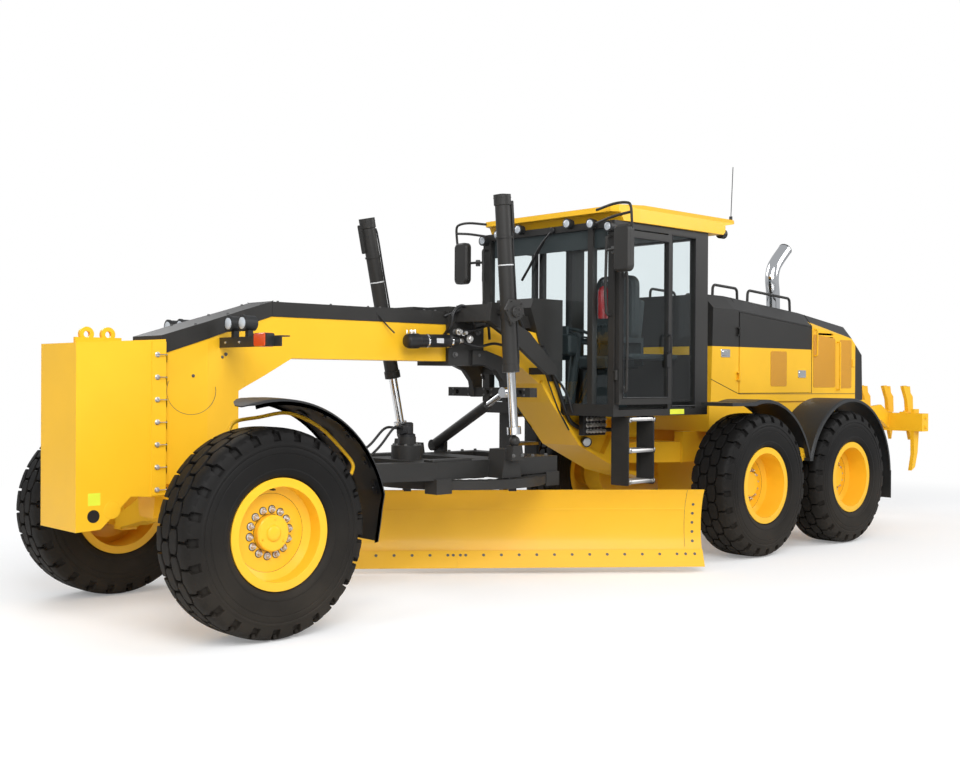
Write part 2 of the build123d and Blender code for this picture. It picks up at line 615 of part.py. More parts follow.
def blade_carrier():
    """Carries the moldboard's rails and tilts on the circle's hangers."""
    (low_y, low_z), (high_y, high_z) = RAIL_ROWS
    low_back = -low_y - RAIL_DEPTH - SEAT_GAP
    high_back = -high_y - RAIL_DEPTH - SEAT_GAP
    top = high_z + RAIL_HALF_HEIGHT + 30
    foot = low_z - RAIL_HALF_HEIGHT - 30
    outline = [(low_back, foot), (low_back, high_z - 80), (high_back, high_z - 60), (high_back, top),
               (high_back - 55, top), (-TILT_BACK - 50, TILT_Z + 60), (-TILT_BACK - 50, foot)]
    parts = []
    for u in (-HANGER_U, HANGER_U):
        for side in (-1, 1):
            inner = u + side * (HANGER_HALF + RUNNING_GAP)
            outer = inner + side * 28
            parts.append(plate_yz(outline, min(inner, outer), max(inner, outer)))
            for (y, z), back in zip(RAIL_ROWS, (low_back, high_back)):
                for lip in (z + RAIL_HALF_HEIGHT + SEAT_GAP, z - RAIL_HALF_HEIGHT - SEAT_GAP - 14):
                    parts.append(block(min(inner, outer), max(inner, outer), back - 5, back + 12, lip, lip + 14))
        reach = HANGER_HALF + RUNNING_GAP + 28
        parts.append(bar((u - reach, -TILT_BACK, TILT_Z), (u + reach, -TILT_BACK, TILT_Z), TILT_PIN_RADIUS))
    inside = HANGER_U - HANGER_HALF - RUNNING_GAP
    tie = block(-inside, inside, high_back - 50, high_back - 10, high_z - 10, high_z + 40)
    return blade_place() * fuse(*parts, tie)


# ---------------------------------------------------------------- front axle
def front_axle():
    half = [(LEAN_PIN_Y - 60, 545), (LEAN_PIN_Y - 60, 655), (330, 815), (0, 830)]
    low = [(0, 640), (330, 625)]
    beam = plate_yz(half + [(-y, z) for y, z in reversed(half[:3])]
                    + [(-y, z) for y, z in reversed(low[1:])] + low,
                    -AXLE_HALF_DEPTH, AXLE_HALF_DEPTH)
    boss = bar((-AXLE_HALF_DEPTH - 35, 0, AXLE_PIVOT_Z), (AXLE_HALF_DEPTH + 35, 0, AXLE_PIVOT_Z), 90)
    bore = bar((-250, 0, AXLE_PIVOT_Z), (250, 0, AXLE_PIVOT_Z), AXLE_PIN_RADIUS + PIN_GAP)
    ends = []
    for x0, x1 in ((-AXLE_HALF_DEPTH, -AXLE_HALF_DEPTH + 35), (AXLE_HALF_DEPTH - 35, AXLE_HALF_DEPTH)):
        lug = plate_yz([(LEAN_PIN_Y - 65, 545), (LEAN_PIN_Y + 12, 550), (LEAN_PIN_Y + 34, LEAN_PIN_Z),
                        (LEAN_PIN_Y + 12, 650), (LEAN_PIN_Y - 65, 655)], x0, x1)
        ends.append(both(lug))
    pins = both(bar((-AXLE_HALF_DEPTH, LEAN_PIN_Y, LEAN_PIN_Z),
                    (AXLE_HALF_DEPTH, LEAN_PIN_Y, LEAN_PIN_Z), LEAN_PIN_RADIUS))
    return fuse((beam + boss) - bore, *ends, pins)


def lean_link(side):
    half_depth = AXLE_HALF_DEPTH - 35 - RUNNING_GAP
    top = AXLE_Z + KNUCKLE_HALF_HEIGHT + RUNNING_GAP
    low = AXLE_Z - KNUCKLE_HALF_HEIGHT - RUNNING_GAP
    inner = KINGPIN_Y - KNUCKLE_RADIUS - RUNNING_GAP - 10
    web = plate_yz([(LEAN_PIN_Y - 38, LEAN_PIN_Z - 40), (inner, low - 30), (inner, top + 40),
                    (inner - 40, top + 40), (LEAN_PIN_Y - 38, LEAN_PIN_Z + 60)],
                   -half_depth, half_depth)
    lugs = [
        block(-60, 60, inner - 10, KINGPIN_Y + 38, z0, z1)
        for z0, z1 in ((top, top + 40), (low - 40, low))
    ]
    bore = bar((-200, LEAN_PIN_Y, LEAN_PIN_Z), (200, LEAN_PIN_Y, LEAN_PIN_Z), LEAN_PIN_RADIUS + PIN_GAP)
    kingpin = bar((0, KINGPIN_Y, low - 40), (0, KINGPIN_Y, top + 40), KINGPIN_RADIUS)
    return on_side(fuse(web, *lugs) - bore + kingpin, side)


def knuckle(side):
    low, high = AXLE_Z - KNUCKLE_HALF_HEIGHT, AXLE_Z + KNUCKLE_HALF_HEIGHT
    post = bar((0, KINGPIN_Y, low), (0, KINGPIN_Y, high), KNUCKLE_RADIUS)
    spindle = bar((0, KINGPIN_Y, AXLE_Z), (0, HALF_TRACK + FRONT_DISC_FACE - DISC_WALL - RUNNING_GAP, AXLE_Z),
                  SPINDLE_RADIUS)
    arm = plate_xy([(-STEER_ARM_REACH, KINGPIN_Y + 8), (-STEER_ARM_REACH, KINGPIN_Y + 36), (0, KINGPIN_Y + 45),
                    (0, KINGPIN_Y + 8)], 700, 770)
    bore = bar((0, KINGPIN_Y, low - 10), (0, KINGPIN_Y, high + 10), KINGPIN_RADIUS + PIN_GAP)
    return on_side(fuse(post, spindle, arm) - bore, side)


def fender_arc(radius, y0, y1, start, end):
    """Part of a drum about the wheel's axle with both rims turned down; angles in degrees from +X upwards."""
    outer = radius + FENDER_WALL
    low = radius - FENDER_LIP
    section = [(y0, low), (y0, outer - 10), (y0 + 18, outer), (y1 - 18, outer), (y1, outer - 10), (y1, low),
               (y1 - FENDER_WALL, low), (y1 - FENDER_WALL, radius - 6), (y1 - 22, radius),
               (y0 + 22, radius), (y0 + FENDER_WALL, radius - 6), (y0 + FENDER_WALL, low)]
    face = make_face(Polyline(*[(r, y, 0) for y, r in section], close=True))
    arc = revolve(face, axis=Axis.Y, revolution_arc=end - start)
    return Pos(0, 0, AXLE_Z) * Rot(0, -end, 0) * arc


def front_fender(side):
    inner_y, outer_y = 828, 1292
    radius = FRONT_FENDER_RADIUS
    start, end = 72, 166
    arch = fender_arc(radius, inner_y, outer_y, start, end)
    foot_x = radius * math.cos(math.radians(end))
    foot_z = AXLE_Z + radius * math.sin(math.radians(end))
    flap_x = -745
    upper = plate_xz([(foot_x - 4, foot_z + 3), (foot_x + 3, foot_z + 3), (flap_x, 760),
                      (flap_x - 6, 760)], inner_y, outer_y)
    lower = block(flap_x - 6, flap_x, 1030, 1250, 488, 761)
    stay = plate_xz([(-262, 700), (-190, 700), (-190, 790), (-300, 1400), (-360, 1400), (-262, 790)],
                    KINGPIN_Y - 12, KINGPIN_Y + 2)
    stay = stay + block(-258, -194, KINGPIN_Y - 12, KINGPIN_Y + 8, 702, 768)
    cap = plate_xz([(-300, 1395), (-360, 1395), (-390, 1430), (-220, 1490)], inner_y + 2, KINGPIN_Y + 2)
    return on_side(fuse(arch, upper, lower, stay, cap), side)


# ---------------------------------------------------------------- cab
def cab_frame():
    half = CAB_HALF_WIDTH
    floor = block(CAB_BACK_X, CAB_FRONT_X, -half, half, CAB_BOTTOM, CAB_BOTTOM + 60)
    posts = []
    post_rows = (                         # x0, x1, y0, y1
        (CAB_FRONT_X - CAB_POST, CAB_FRONT_X, half - CAB_POST, half),
        (CAB_BACK_X, CAB_BACK_X + 190, half - CAB_POST, half),
        (CAB_FRONT_X - 60, CAB_FRONT_X, 510, 570),
        (DOOR_BACK_X - 60, DOOR_BACK_X - 5, half - 50, half),
    )
    for x0, x1, y0, y1 in post_rows:
        posts.append(both(block(x0, x1, y0, y1, CAB_BOTTOM + 50, CAB_TOP)))
    top = block(CAB_BACK_X, CAB_FRONT_X, -half, half, CAB_TOP - 60, CAB_TOP)
    top = top - block(CAB_BACK_X + 80, CAB_FRONT_X - 80, -half + 80, half - 80, CAB_TOP - 70, CAB_TOP + 10)
    sill_front = block(CAB_FRONT_X - 60, CAB_FRONT_X, -half, half, CAB_BOTTOM, DOOR_BOTTOM)
    back_wall = block(CAB_BACK_X, CAB_BACK_X + 60, -half, half, CAB_BOTTOM, 1900)
    hinges = [hinge_fixed(DOOR_HINGE_X, DOOR_HINGE_Y, z, (DOOR_HINGE_X - 14, DOOR_HINGE_X + 14, half, DOOR_HINGE_Y))
              for z in DOOR_HINGE_ROWS]
    return fuse(floor, *posts, top, sill_front, back_wall, both(fuse(*hinges)))


def cab_roof():
    """Side, plan and front outlines together: a thin front lip, swept corners and a tail wing."""
    front = CAB_FRONT_X + 20
    low = CAB_TOP + SEAT_GAP
    side = plate_xz([
        (front, 3125), (front, 3172), (front - 80, 3189), (-4146, ROOF_TOP), (-5470, ROOF_TOP - 3),
        (-5565, 3200), (-5560, 3185), (-5310, 3140), (-5310, 3080), (-5280, low), (-3830, low), (-3790, 3125),
    ], -900, 900)
    half = [(front, 790), (front - 70, 828), (-4030, ROOF_HALF_WIDTH), (-5440, ROOF_HALF_WIDTH), (-5566, 770)]
    plan = plate_xy(half + [(x, -y) for x, y in reversed(half)], 3000, 3300)
    slope = [(ROOF_HALF_WIDTH + 5, 3000), (ROOF_HALF_WIDTH + 5, 3165), (ROOF_HALF_WIDTH - 50, ROOF_TOP + 2)]
    across = plate_yz(slope + [(-y, z) for y, z in reversed(slope)], -5600, CAB_FRONT_X + 100)
    return side & plan & across


def antenna():
    foot = (-5480, 790, ROOF_TOP - 20)
    base = bar(foot, (-5480, 790, ROOF_TOP + 30), 16)
    whip = bar((-5480, 790, ROOF_TOP), (-5480, 812, 3725), 4)
    return (base + whip) - cab_roof()


def cab_glass():
    half = CAB_HALF_WIDTH
    z0, z1 = DOOR_BOTTOM + SEAT_GAP, CAB_TOP - 60 - SEAT_GAP
    front = block(CAB_FRONT_X - 40, CAB_FRONT_X - 32, -510 + SEAT_GAP, 510 - SEAT_GAP, z0, z1)
    corner = both(block(CAB_FRONT_X - 40, CAB_FRONT_X - 32, 570 + SEAT_GAP, half - CAB_POST - SEAT_GAP, z0, z1))
    rear = block(CAB_BACK_X + 30, CAB_BACK_X + 38, -half + CAB_POST + SEAT_GAP, half - CAB_POST - SEAT_GAP,
                 1900 + SEAT_GAP, z1)
    quarter = both(block(CAB_BACK_X + 190 + SEAT_GAP, DOOR_BACK_X - 60 - SEAT_GAP, half - 30, half - 22,
                         CAB_BOTTOM + 60 + SEAT_GAP, z1))
    return fuse(front, corner, rear, quarter)


def cab_interior():
    """Operator's seat on its pedestal, and the steering column with its wheel."""
    def cushion(x0, x1, half, z0, z1):
        shape = block(x0, x1, -half, half, z0, z1)
        return fillet(shape.edges(), 28)

    back = Pos(-4760, 0, 1850) * Rot(0, -8, 0) * Pos(4760, 0, -1850) * cushion(-4800, -4700, 230, 1860, 2440)
    head = Pos(-4760, 0, 1850) * Rot(0, -8, 0) * Pos(4760, 0, -1850) * cushion(-4795, -4715, 130, 2420, 2600)
    seat = cushion(-4780, -4290, 240, 1760, 1880)
    arms = both(fuse(block(-4740, -4420, 250, 320, 2010, 2060), block(-4740, -4700, 225, 320, 1790, 2030)))
    pedestal = block(-4700, -4400, -150, 150, CAB_BOTTOM + 60, 1770)
    foot = block(-4130, -3970, -80, 80, CAB_BOTTOM + 60, CAB_BOTTOM + 100)
    column = bar((-4052, 0, CAB_BOTTOM + 80), (-4150, 0, 2050), 45)
    ring = Torus(190, 15)
    spokes = [Rot(0, 0, 120 * k) * block(0, 190, -12, 12, -6, 6) for k in range(3)]
    hub = Cylinder(48, 40)
    wheel = Pos(-4158, 0, 2068) * Rot(0, -20, 0) * fuse(ring, *spokes, hub)
    return fuse(seat, back, head, arms, pedestal, foot, column, wheel)


def door(side):
    """Frame of the door; the glass fills its hole."""
    half = CAB_HALF_WIDTH
    x0, x1 = DOOR_BACK_X, CAB_FRONT_X - 20
    y0, y1 = half + RUNNING_GAP, half + RUNNING_GAP + DOOR_WALL
    frame = block(x0, x1, y0, y1, DOOR_BOTTOM, DOOR_TOP)
    hole = block(x0 + 50, x1 - 50, y0 - 5, y1 + 5, DOOR_BOTTOM + 60, DOOR_TOP - 60)
    hinges = [hinge_moving(DOOR_HINGE_X, DOOR_HINGE_Y, z, (x1 - 10, DOOR_HINGE_X, DOOR_HINGE_Y - 7, DOOR_HINGE_Y + 7))
              for z in DOOR_HINGE_ROWS]
    return on_side(fuse(frame - hole, *hinges), side)


def door_glass(side):
    y0 = CAB_HALF_WIDTH + RUNNING_GAP + 14
    pane = block(DOOR_BACK_X + 50, CAB_FRONT_X - 70, y0, y0 + CAB_GLASS, DOOR_BOTTOM + 60, DOOR_TOP - 60)
    return on_side(pane, side)


def mirrors():
    """A tube loop off the cab's front corner, and the rounded mirror head it carries."""
    x = CAB_FRONT_X + 60
    wall = CAB_FRONT_X + SEAT_GAP
    loop = pipe([(wall, 785, 2905), (x, 785, 2905), (x, 770, 2418), (x, 785, 2223), (wall, 785, 2223)], 25, 13)
    arm = pipe([(x, 780, 2780), (x + 35, 850, 2780), (x + 55, 1000, 2780)], 30, 12)
    shell = extrude(Plane(origin=(x + 25, 1020, 2780), x_dir=(0, 1, 0), z_dir=(1, 0, 0))
                    * RectangleRounded(185, 400, 50), amount=65)
    shell = chamfer(shell.faces().sort_by(Axis.X)[-1].edges(), 18)
    return both(fuse(loop, arm, shell))


def steps():
    rails = fuse(*[block(x - 20, x + 20, 640, 655, 728, CAB_BOTTOM) for x in (-3960, -4290)])
    rungs = fuse(*[block(-4285, -3965, 620, 810, z, z + 25) for z in (735, 1010, 1290)])
    cheeks = fuse(*[block(x - 20, x + 20, 640, 810, z - 5, z + 35) for x in (-3960, -4290) for z in (735, 1010)])
    return both(fuse(rails, rungs, cheeks))


def front_lamps():
    """Lamp bars across the nose with two headlamps and a turn signal a side, and the cab's work lamps."""
    x, top = LAMP_BAR_X, LAMP_BAR_TOP
    plate = block(x - 8, x, 150, LAMP_BAR_REACH, top - 72, top) + block(x - 70, x, 150, LAMP_BAR_REACH, top - 8, top)
    parts = [plate - main_frame()]
    for y in LAMP_ROWS:
        parts.append(bar((x - 75, y, LAMP_Z), (x + 12, y, LAMP_Z), 52))
        parts.append(bar((x + 5, y, LAMP_Z), (x + 22, y, LAMP_Z), 57))
        parts.append(block(x - 55, x - 15, y - 20, y + 20, top - 5, LAMP_Z - 40))
    signal = block(x - 5, x + 55, *SIGNAL_Y, top - 72, top + 16)
    parts.append(fillet(signal.edges().filter_by(Axis.X), 16))
    wall = CAB_FRONT_X + SEAT_GAP
    for y, z in CAB_LAMPS:
        parts.append(bar((wall, y, z), (wall + 55, y, z), 42) + bar((wall + 45, y, z), (wall + 64, y, z), 47))
    rx, ry, rz = REAR_LAMP
    rear = bar((rx - 45, ry, rz), (rx + 25, ry, rz), 45) + block(rx - 20, rx + 20, ry - 15, ry + 15, rz, 3200)
    parts.append(rear - cab_roof())
    return both(fuse(*parts))


def front_tower():
    tower = plate_xz([(-3290, 2290), (-3320, 2375), (-3700, 2375), (-3700, 1640), (-3540, 1640)], -230, 230)
    return tower - main_frame() - frame_cover()


# ---------------------------------------------------------------- rear frame
def rear_frame():
    tongue = plate_xy([(HITCH_X + 110, -120), (HITCH_X + 110, 120), (HITCH_X - 130, 160), (-5300, 400),
                       (-5300, -400), (HITCH_X - 130, -160)], 850, 1050)
    tongue = tongue - bar((HITCH_X, 0, 800), (HITCH_X, 0, 1100), HITCH_PIN_RADIUS + PIN_GAP)
    rails = both(block(-8480, -5250, 300, 400, 850, 1150))
    deck = block(-8480, HOOD_FRONT_X, -560, 560, 1150, 1440)
    axle_house = block(TANDEM_X - 260, TANDEM_X + 260, -420, 420, 480, 900)
    tube = bar((TANDEM_X, -TANDEM_INNER_Y - 30, AXLE_Z), (TANDEM_X, TANDEM_INNER_Y + 30, AXLE_Z), 110)
    back = block(-8560, -8470, -480, 480, 800, 1440)
    lugs = both(plate_xz([(-8550, 1180), (RIPPER_PIVOT_X - 50, 1240), (RIPPER_PIVOT_X - 50, 1360),
                          (-8550, 1420)], 455, 485))
    ripper_bore = bar((RIPPER_PIVOT_X, -600, RIPPER_PIVOT_Z), (RIPPER_PIVOT_X, 600, RIPPER_PIVOT_Z),
                      RIPPER_PIN_RADIUS + PIN_GAP)
    return fuse(tongue, rails, deck, axle_house, tube, back, lugs - ripper_bore)


HOOD_TOP_LINE = [(-5500, 2516), (-5855, 2513), (-7230, 2398), (-8184, 2274), (-8345, 2142)]
SIDE_DOOR_OUTLINE = [(-7275, 1530), (-5940, 1530), (-5940, 2345), (-7275, 2235)]


def bevelled(shape, half, size):
    """Slope the long upper edges between the hood's top and its sides."""
    edges = [e for e in shape.edges() if abs(abs(e.center().Y) - half) < 1 and e.center().Z > 2150]
    return chamfer(edges, size)


def hood_body():
    bottom = 1440 + SEAT_GAP
    side = [(HOOD_FRONT_X, bottom)] + HOOD_TOP_LINE + [(HOOD_BACK_X, 1445), (HOOD_BACK_X, bottom)]
    return bevelled(plate_xz(side, -HOOD_HALF_WIDTH, HOOD_HALF_WIDTH), HOOD_HALF_WIDTH, HOOD_CHAMFER)


def slots(x0, x1, y0, y1, z0, z1, pitch, height):
    """A column of level slots; pairs of (y0, y1) or (x0, x1) give how deep they cut."""
    count = int((z1 - z0) // pitch)
    return [block(x0, x1, y0, y1, z0 + pitch * k, z0 + pitch * k + height) for k in range(count)]


def hood():
    """Sheet shell with its door openings, side louvres and rear louvres."""
    bottom = 1440 + SEAT_GAP
    wall = HOOD_WALL
    inner = bevelled(plate_xz([
        (HOOD_FRONT_X - wall, bottom - 10), (-5500 - wall, 2516 - wall), (-5855, 2513 - wall),
        (-7230, 2398 - wall), (-8184 + 5, 2274 - wall), (-8345 + wall, 2142 - 5), (HOOD_BACK_X + wall, bottom - 10),
    ], -HOOD_HALF_WIDTH + wall, HOOD_HALF_WIDTH - wall), HOOD_HALF_WIDTH - wall, HOOD_CHAMFER - 0.6 * wall)
    (back, low), (front, _), (_, high_front), (_, high_back) = SIDE_DOOR_OUTLINE
    gap = RUNNING_GAP
    opening = plate_xz([(back - gap, low - gap), (front + 10, low - gap), (front + 10, high_front + gap),
                        (back - gap, high_back + gap)], -700, 700)
    stack = bar((EXHAUST_X, EXHAUST_Y, 2200), (EXHAUST_X, EXHAUST_Y, 2600), EXHAUST_RADIUS + RUNNING_GAP)
    louvres = slots(HOOD_BACK_X - 50, HOOD_BACK_X + 50, -430, 430, 1600, 2090, 42, 24)
    for (x1, x0), top in zip(COOLER_DOORS, (2200, 2110)):
        for y0, y1 in ((HOOD_HALF_WIDTH - 40, HOOD_HALF_WIDTH + 5), (-HOOD_HALF_WIDTH - 5, 40 - HOOD_HALF_WIDTH)):
            louvres += slots(x0 + 25, x1 - 25, y0, y1, 1590, top, 38, 22)
    tab = (SIDE_HINGE_X - 4, SIDE_HINGE_X + 30, HOOD_HALF_WIDTH, SIDE_HINGE_Y + 4)
    hinges = [hinge_fixed(SIDE_HINGE_X, SIDE_HINGE_Y, z, tab) for z in SIDE_HINGE_ROWS]
    return (hood_body() - inner).cut(opening, stack, *louvres) + both(fuse(*hinges))


def side_door(side):
    y0, y1 = HOOD_HALF_WIDTH - 20, HOOD_HALF_WIDTH + 5
    panel = plate_xz(SIDE_DOOR_OUTLINE, y0, y1)
    panel = panel.cut(*slots(-6790, -6500, y0 - 5, y1 + 5, 1610, 1966, 40, 22))
    tab = (SIDE_HINGE_X - 28, SIDE_HINGE_X, HOOD_HALF_WIDTH, SIDE_HINGE_Y + 4)
    hinges = [hinge_moving(SIDE_HINGE_X, SIDE_HINGE_Y, z, tab) for z in SIDE_HINGE_ROWS]
    return on_side(fuse(panel, *hinges), side)


def handrails():
    """Hoops on the hood's top and upright grab handles on its rear sides."""
    hoops = [
        pipe([(x1, 400, 2380), (x1 - 12, 400, z1), (x0 + 12, 400, z0), (x0, 400, 2380)], 45, 14)
        for x1, z1, x0, z0 in ((-5720, 2625, -6160, 2605), (-6330, 2600, -7140, 2550))
    ]
    grabs = [
        pipe([(x, HOOD_HALF_WIDTH - 10, z0), (x, HOOD_HALF_WIDTH + 38, z0), (x, HOOD_HALF_WIDTH + 38, z1),
              (x, HOOD_HALF_WIDTH - 10, z1)], 18, 9)
        for x, z0, z1 in ((-7345, 1930, 2215), (-7820, 1560, 2090))
    ]
    return both(Compound(hoops + grabs)) - hood_body()


def engine():
    return block(EXHAUST_X - 90, -6050, -330, 330, 1440 + SEAT_GAP, ENGINE_TOP)


def exhaust():
    """Leaning stack whose mouth bends to the rear."""
    path = [(EXHAUST_X, EXHAUST_Y, ENGINE_TOP), (EXHAUST_X, EXHAUST_Y, 2425), (EXHAUST_X + 95, EXHAUST_Y, 2930),
            (EXHAUST_X - 228, EXHAUST_Y, 3134)]
    return pipe(path, 130, EXHAUST_RADIUS)


def tandem(side):
    """Chain case with rounded ends, and the two wheel spindles."""
    half = TANDEM_SPACING / 2
    case = block(TANDEM_X - half, TANDEM_X + half, TANDEM_INNER_Y, TANDEM_OUTER_Y, AXLE_Z - 210, AXLE_Z + 210)
    for dx in (-half, half):
        case = case + bar((TANDEM_X + dx, TANDEM_INNER_Y, AXLE_Z), (TANDEM_X + dx, TANDEM_OUTER_Y, AXLE_Z), 210)
    bore = bar((TANDEM_X, TANDEM_INNER_Y - 10, AXLE_Z), (TANDEM_X, TANDEM_INNER_Y + 35, AXLE_Z), 110 + PIN_GAP)
    spindles = [
        bar((TANDEM_X + dx, TANDEM_OUTER_Y - 5, AXLE_Z),
            (TANDEM_X + dx, HALF_TRACK + REAR_DISC_FACE - DISC_WALL - RUNNING_GAP, AXLE_Z), SPINDLE_RADIUS)
        for dx in (-half, half)
    ]
    bracket = block(TANDEM_X - 60, TANDEM_X + 60, TANDEM_OUTER_Y - 40, TANDEM_OUTER_Y, AXLE_Z + 200, 885)
    return on_side(fuse(case - bore, *spindles, bracket), side)


def rear_fender(side):
    """Two arches that meet in a V between the wheels, the step platform ahead and the flap behind."""
    half = TANDEM_SPACING / 2
    inner_y, outer_y = 845, 1280
    r = REAR_FENDER_RADIUS
    v_half = math.degrees(math.acos(half / r))
    front_x, back_x = TANDEM_X + half, TANDEM_X - half
    front = Pos(front_x, 0, 0) * fender_arc(r, inner_y, outer_y, 76, 180 - v_half)
    back = Pos(back_x, 0, 0) * fender_arc(r, inner_y, outer_y, v_half, 178)
    v_z = AXLE_Z + r * math.sin(math.radians(v_half))
    gutter = block(TANDEM_X - 28, TANDEM_X + 28, inner_y, outer_y, v_z - 20, v_z + 8)
    edge_x = front_x + r * math.cos(math.radians(76))
    edge_z = AXLE_Z + r * math.sin(math.radians(76))
    platform = plate_xy([(edge_x - 30, inner_y), (edge_x - 30, outer_y), (-4830, outer_y), (-4830, 935),
                         (-5090, inner_y)], edge_z - 28, edge_z + 4)
    flap = block(back_x - r - 6, back_x - r + 2, inner_y, outer_y, 410, 705)
    post = block(TANDEM_X - 60, TANDEM_X + 60, TANDEM_OUTER_Y - 10, inner_y + 60, 885, 905)
    return on_side(fuse(front, back, gutter, platform, flap, post), side)


def ripper():
    """Rear beam on two lift arms, with raised scarifier shanks behind it and the outer ripper shanks."""
    beam = block(-9230, -9080, -950, 950, 1070, 1280)
    arms = both(plate_xz([(RIPPER_PIVOT_X + 50, 1240), (RIPPER_PIVOT_X + 50, 1360), (-8900, 1380),
                          (-9090, 1280), (-9090, 1090), (-8900, 1200)], 490, 530))
    pins = both(bar((RIPPER_PIVOT_X, 450, RIPPER_PIVOT_Z), (RIPPER_PIVOT_X, 535, RIPPER_PIVOT_Z), RIPPER_PIN_RADIUS))
    outline = [(-9225, 1050), (-9225, 1290), (-9180, 1595), (-9232, 1598), (-9285, 1320), (-9290, 1060),
               (-9262, 960)]
    shanks = [plate_xz(outline, y - 20, y + 20) for y in (-700, -450, -150, 150, 450, 700)]
    tooth = both(plate_xz([(-9210, 1330), (-9100, 1330), (-9085, 1100), (-9095, 800), (-9040, 610), (-9125, 650),
                           (-9185, 820), (-9215, 1100)], 800, 845))
    return fuse(beam, arms, pins, *shanks, tooth)


# ---------------------------------------------------------------- write the pieces
def main():
    os.makedirs("parts", exist_ok=True)
    pieces = {
        "main_frame": main_frame(),
        "frame_cover": frame_cover(),
        "nose_weight": nose_weight(),
        "saddle": saddle(),
        "front_tower": front_tower(),
        "cab_frame": cab_frame(),
        "cab_roof": cab_roof(),
        "cab_glass": cab_glass(),
        "cab_interior": cab_interior(),
        "mirrors": mirrors(),
        "steps": steps(),
        "front_lamps": front_lamps(),
        "antenna": antenna(),
        "front_axle": front_axle(),
        "drawbar_ball": drawbar_ball(),
        "drawbar": drawbar(),
        "circle": circle(),
        "blade_carrier": blade_carrier(),
        "moldboard": moldboard(),
        "cutting_edge": cutting_edge(),
        "shift_barrel": shift_barrel(),
        "shift_rod": shift_rod(),
        "rear_frame": rear_frame(),
        "hood": hood(),
        "engine": engine(),
        "exhaust": exhaust(),
        "handrails": handrails(),
        "ripper": ripper(),
    }
    half = TANDEM_SPACING / 2
    wheel_rows = (                       # name, station, disc face
        ("front", 0, FRONT_DISC_FACE),
        ("middle", TANDEM_X + half, REAR_DISC_FACE),
        ("rear", TANDEM_X - half, REAR_DISC_FACE),
    )
    one_tyre = tyre()
    for side, word in ((1, "left"), (-1, "right")):
        pieces[f"lean_{word}"] = lean_link(side)
        pieces[f"knuckle_{word}"] = knuckle(side)
        pieces[f"fender_front_{word}"] = front_fender(side)
        pieces[f"lift_barrel_{word}"] = lift_barrel(side)
        pieces[f"lift_rod_{word}"] = lift_rod(side)
        pieces[f"door_{word}"] = door(side)
        pieces[f"door_glass_{word}"] = door_glass(side)
        pieces[f"side_door_{word}"] = side_door(side)
        pieces[f"tandem_{word}"] = tandem(side)
        pieces[f"fender_rear_{word}"] = rear_fender(side)
        for name, x, disc_face in wheel_rows:
            place = Pos(x, side * HALF_TRACK, AXLE_Z)
            pieces[f"tyre_{name}_{word}"] = place * one_tyre
            pieces[f"rim_{name}_{word}"] = place * on_side(rim(disc_face), side)
    for name, shape in pieces.items():
        export(name, shape)


main()
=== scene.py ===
import math

import bmesh
import bpy
import numpy as np
from mathutils import Matrix, Vector


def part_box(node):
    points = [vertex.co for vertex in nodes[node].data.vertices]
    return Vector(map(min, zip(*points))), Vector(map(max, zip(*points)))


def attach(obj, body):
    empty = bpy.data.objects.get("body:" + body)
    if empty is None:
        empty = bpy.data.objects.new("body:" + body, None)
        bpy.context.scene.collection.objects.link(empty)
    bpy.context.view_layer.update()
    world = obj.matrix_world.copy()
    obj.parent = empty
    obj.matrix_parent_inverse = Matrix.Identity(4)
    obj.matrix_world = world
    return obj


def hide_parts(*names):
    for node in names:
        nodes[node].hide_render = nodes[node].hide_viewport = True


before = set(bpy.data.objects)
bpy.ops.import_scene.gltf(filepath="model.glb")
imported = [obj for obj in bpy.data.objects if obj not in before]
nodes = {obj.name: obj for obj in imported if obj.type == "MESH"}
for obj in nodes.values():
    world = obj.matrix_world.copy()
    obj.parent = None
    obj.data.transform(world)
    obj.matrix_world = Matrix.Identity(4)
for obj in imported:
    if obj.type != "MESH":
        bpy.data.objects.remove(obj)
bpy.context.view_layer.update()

# ------------------------------------------------------------------ the machine's own measure
# Stations are counted from the ground under the middle of the front axle: forwards, to the
# operator's left and upwards, in metres. The CAD part is laid out in the same stations.
FRONT_AXLE = np.array([4.195, -0.07, 0.0])


def at(x, y, z):
    """The model's coordinates of a station: the station plus the front axle's place."""
    return FRONT_AXLE + np.array([x, y, z], float)


# ------------------------------------------------------------------ the room it stands in
# A white room with a pale floor, lit by a broad lamp beside the viewer and softer ones on the
# other side, behind and ahead, so that colours come out about as they are written.
EYE = at(4.212, 7.610, 1.664)
HEADING = math.radians(226.95)
DIP = math.radians(-0.27)
LEAN = math.radians(0.31)
LENS = 44.76

ahead = Vector((math.cos(HEADING) * math.cos(DIP), math.sin(HEADING) * math.cos(DIP), math.sin(DIP)))
level = Vector((math.sin(HEADING), -math.cos(HEADING), 0.0))
overhead = level.cross(ahead)
right = level * math.cos(LEAN) + overhead * math.sin(LEAN)
upward = overhead * math.cos(LEAN) - level * math.sin(LEAN)
viewer = bpy.data.objects.new("viewer", bpy.data.cameras.new("viewer"))
viewer.data.lens = LENS
viewer.data.sensor_width = 36.0
viewer.data.clip_end = 200.0
viewer.matrix_world = Matrix((
    (right.x, upward.x, -ahead.x, EYE[0]),
    (right.y, upward.y, -ahead.y, EYE[1]),
    (right.z, upward.z, -ahead.z, EYE[2]),
    (0, 0, 0, 1)))
bpy.context.scene.collection.objects.link(viewer)
bpy.context.scene.camera = viewer
bpy.context.scene.view_settings.view_transform = "Standard"

MIDDLE = at(-3.5, 0.0, 1.2)
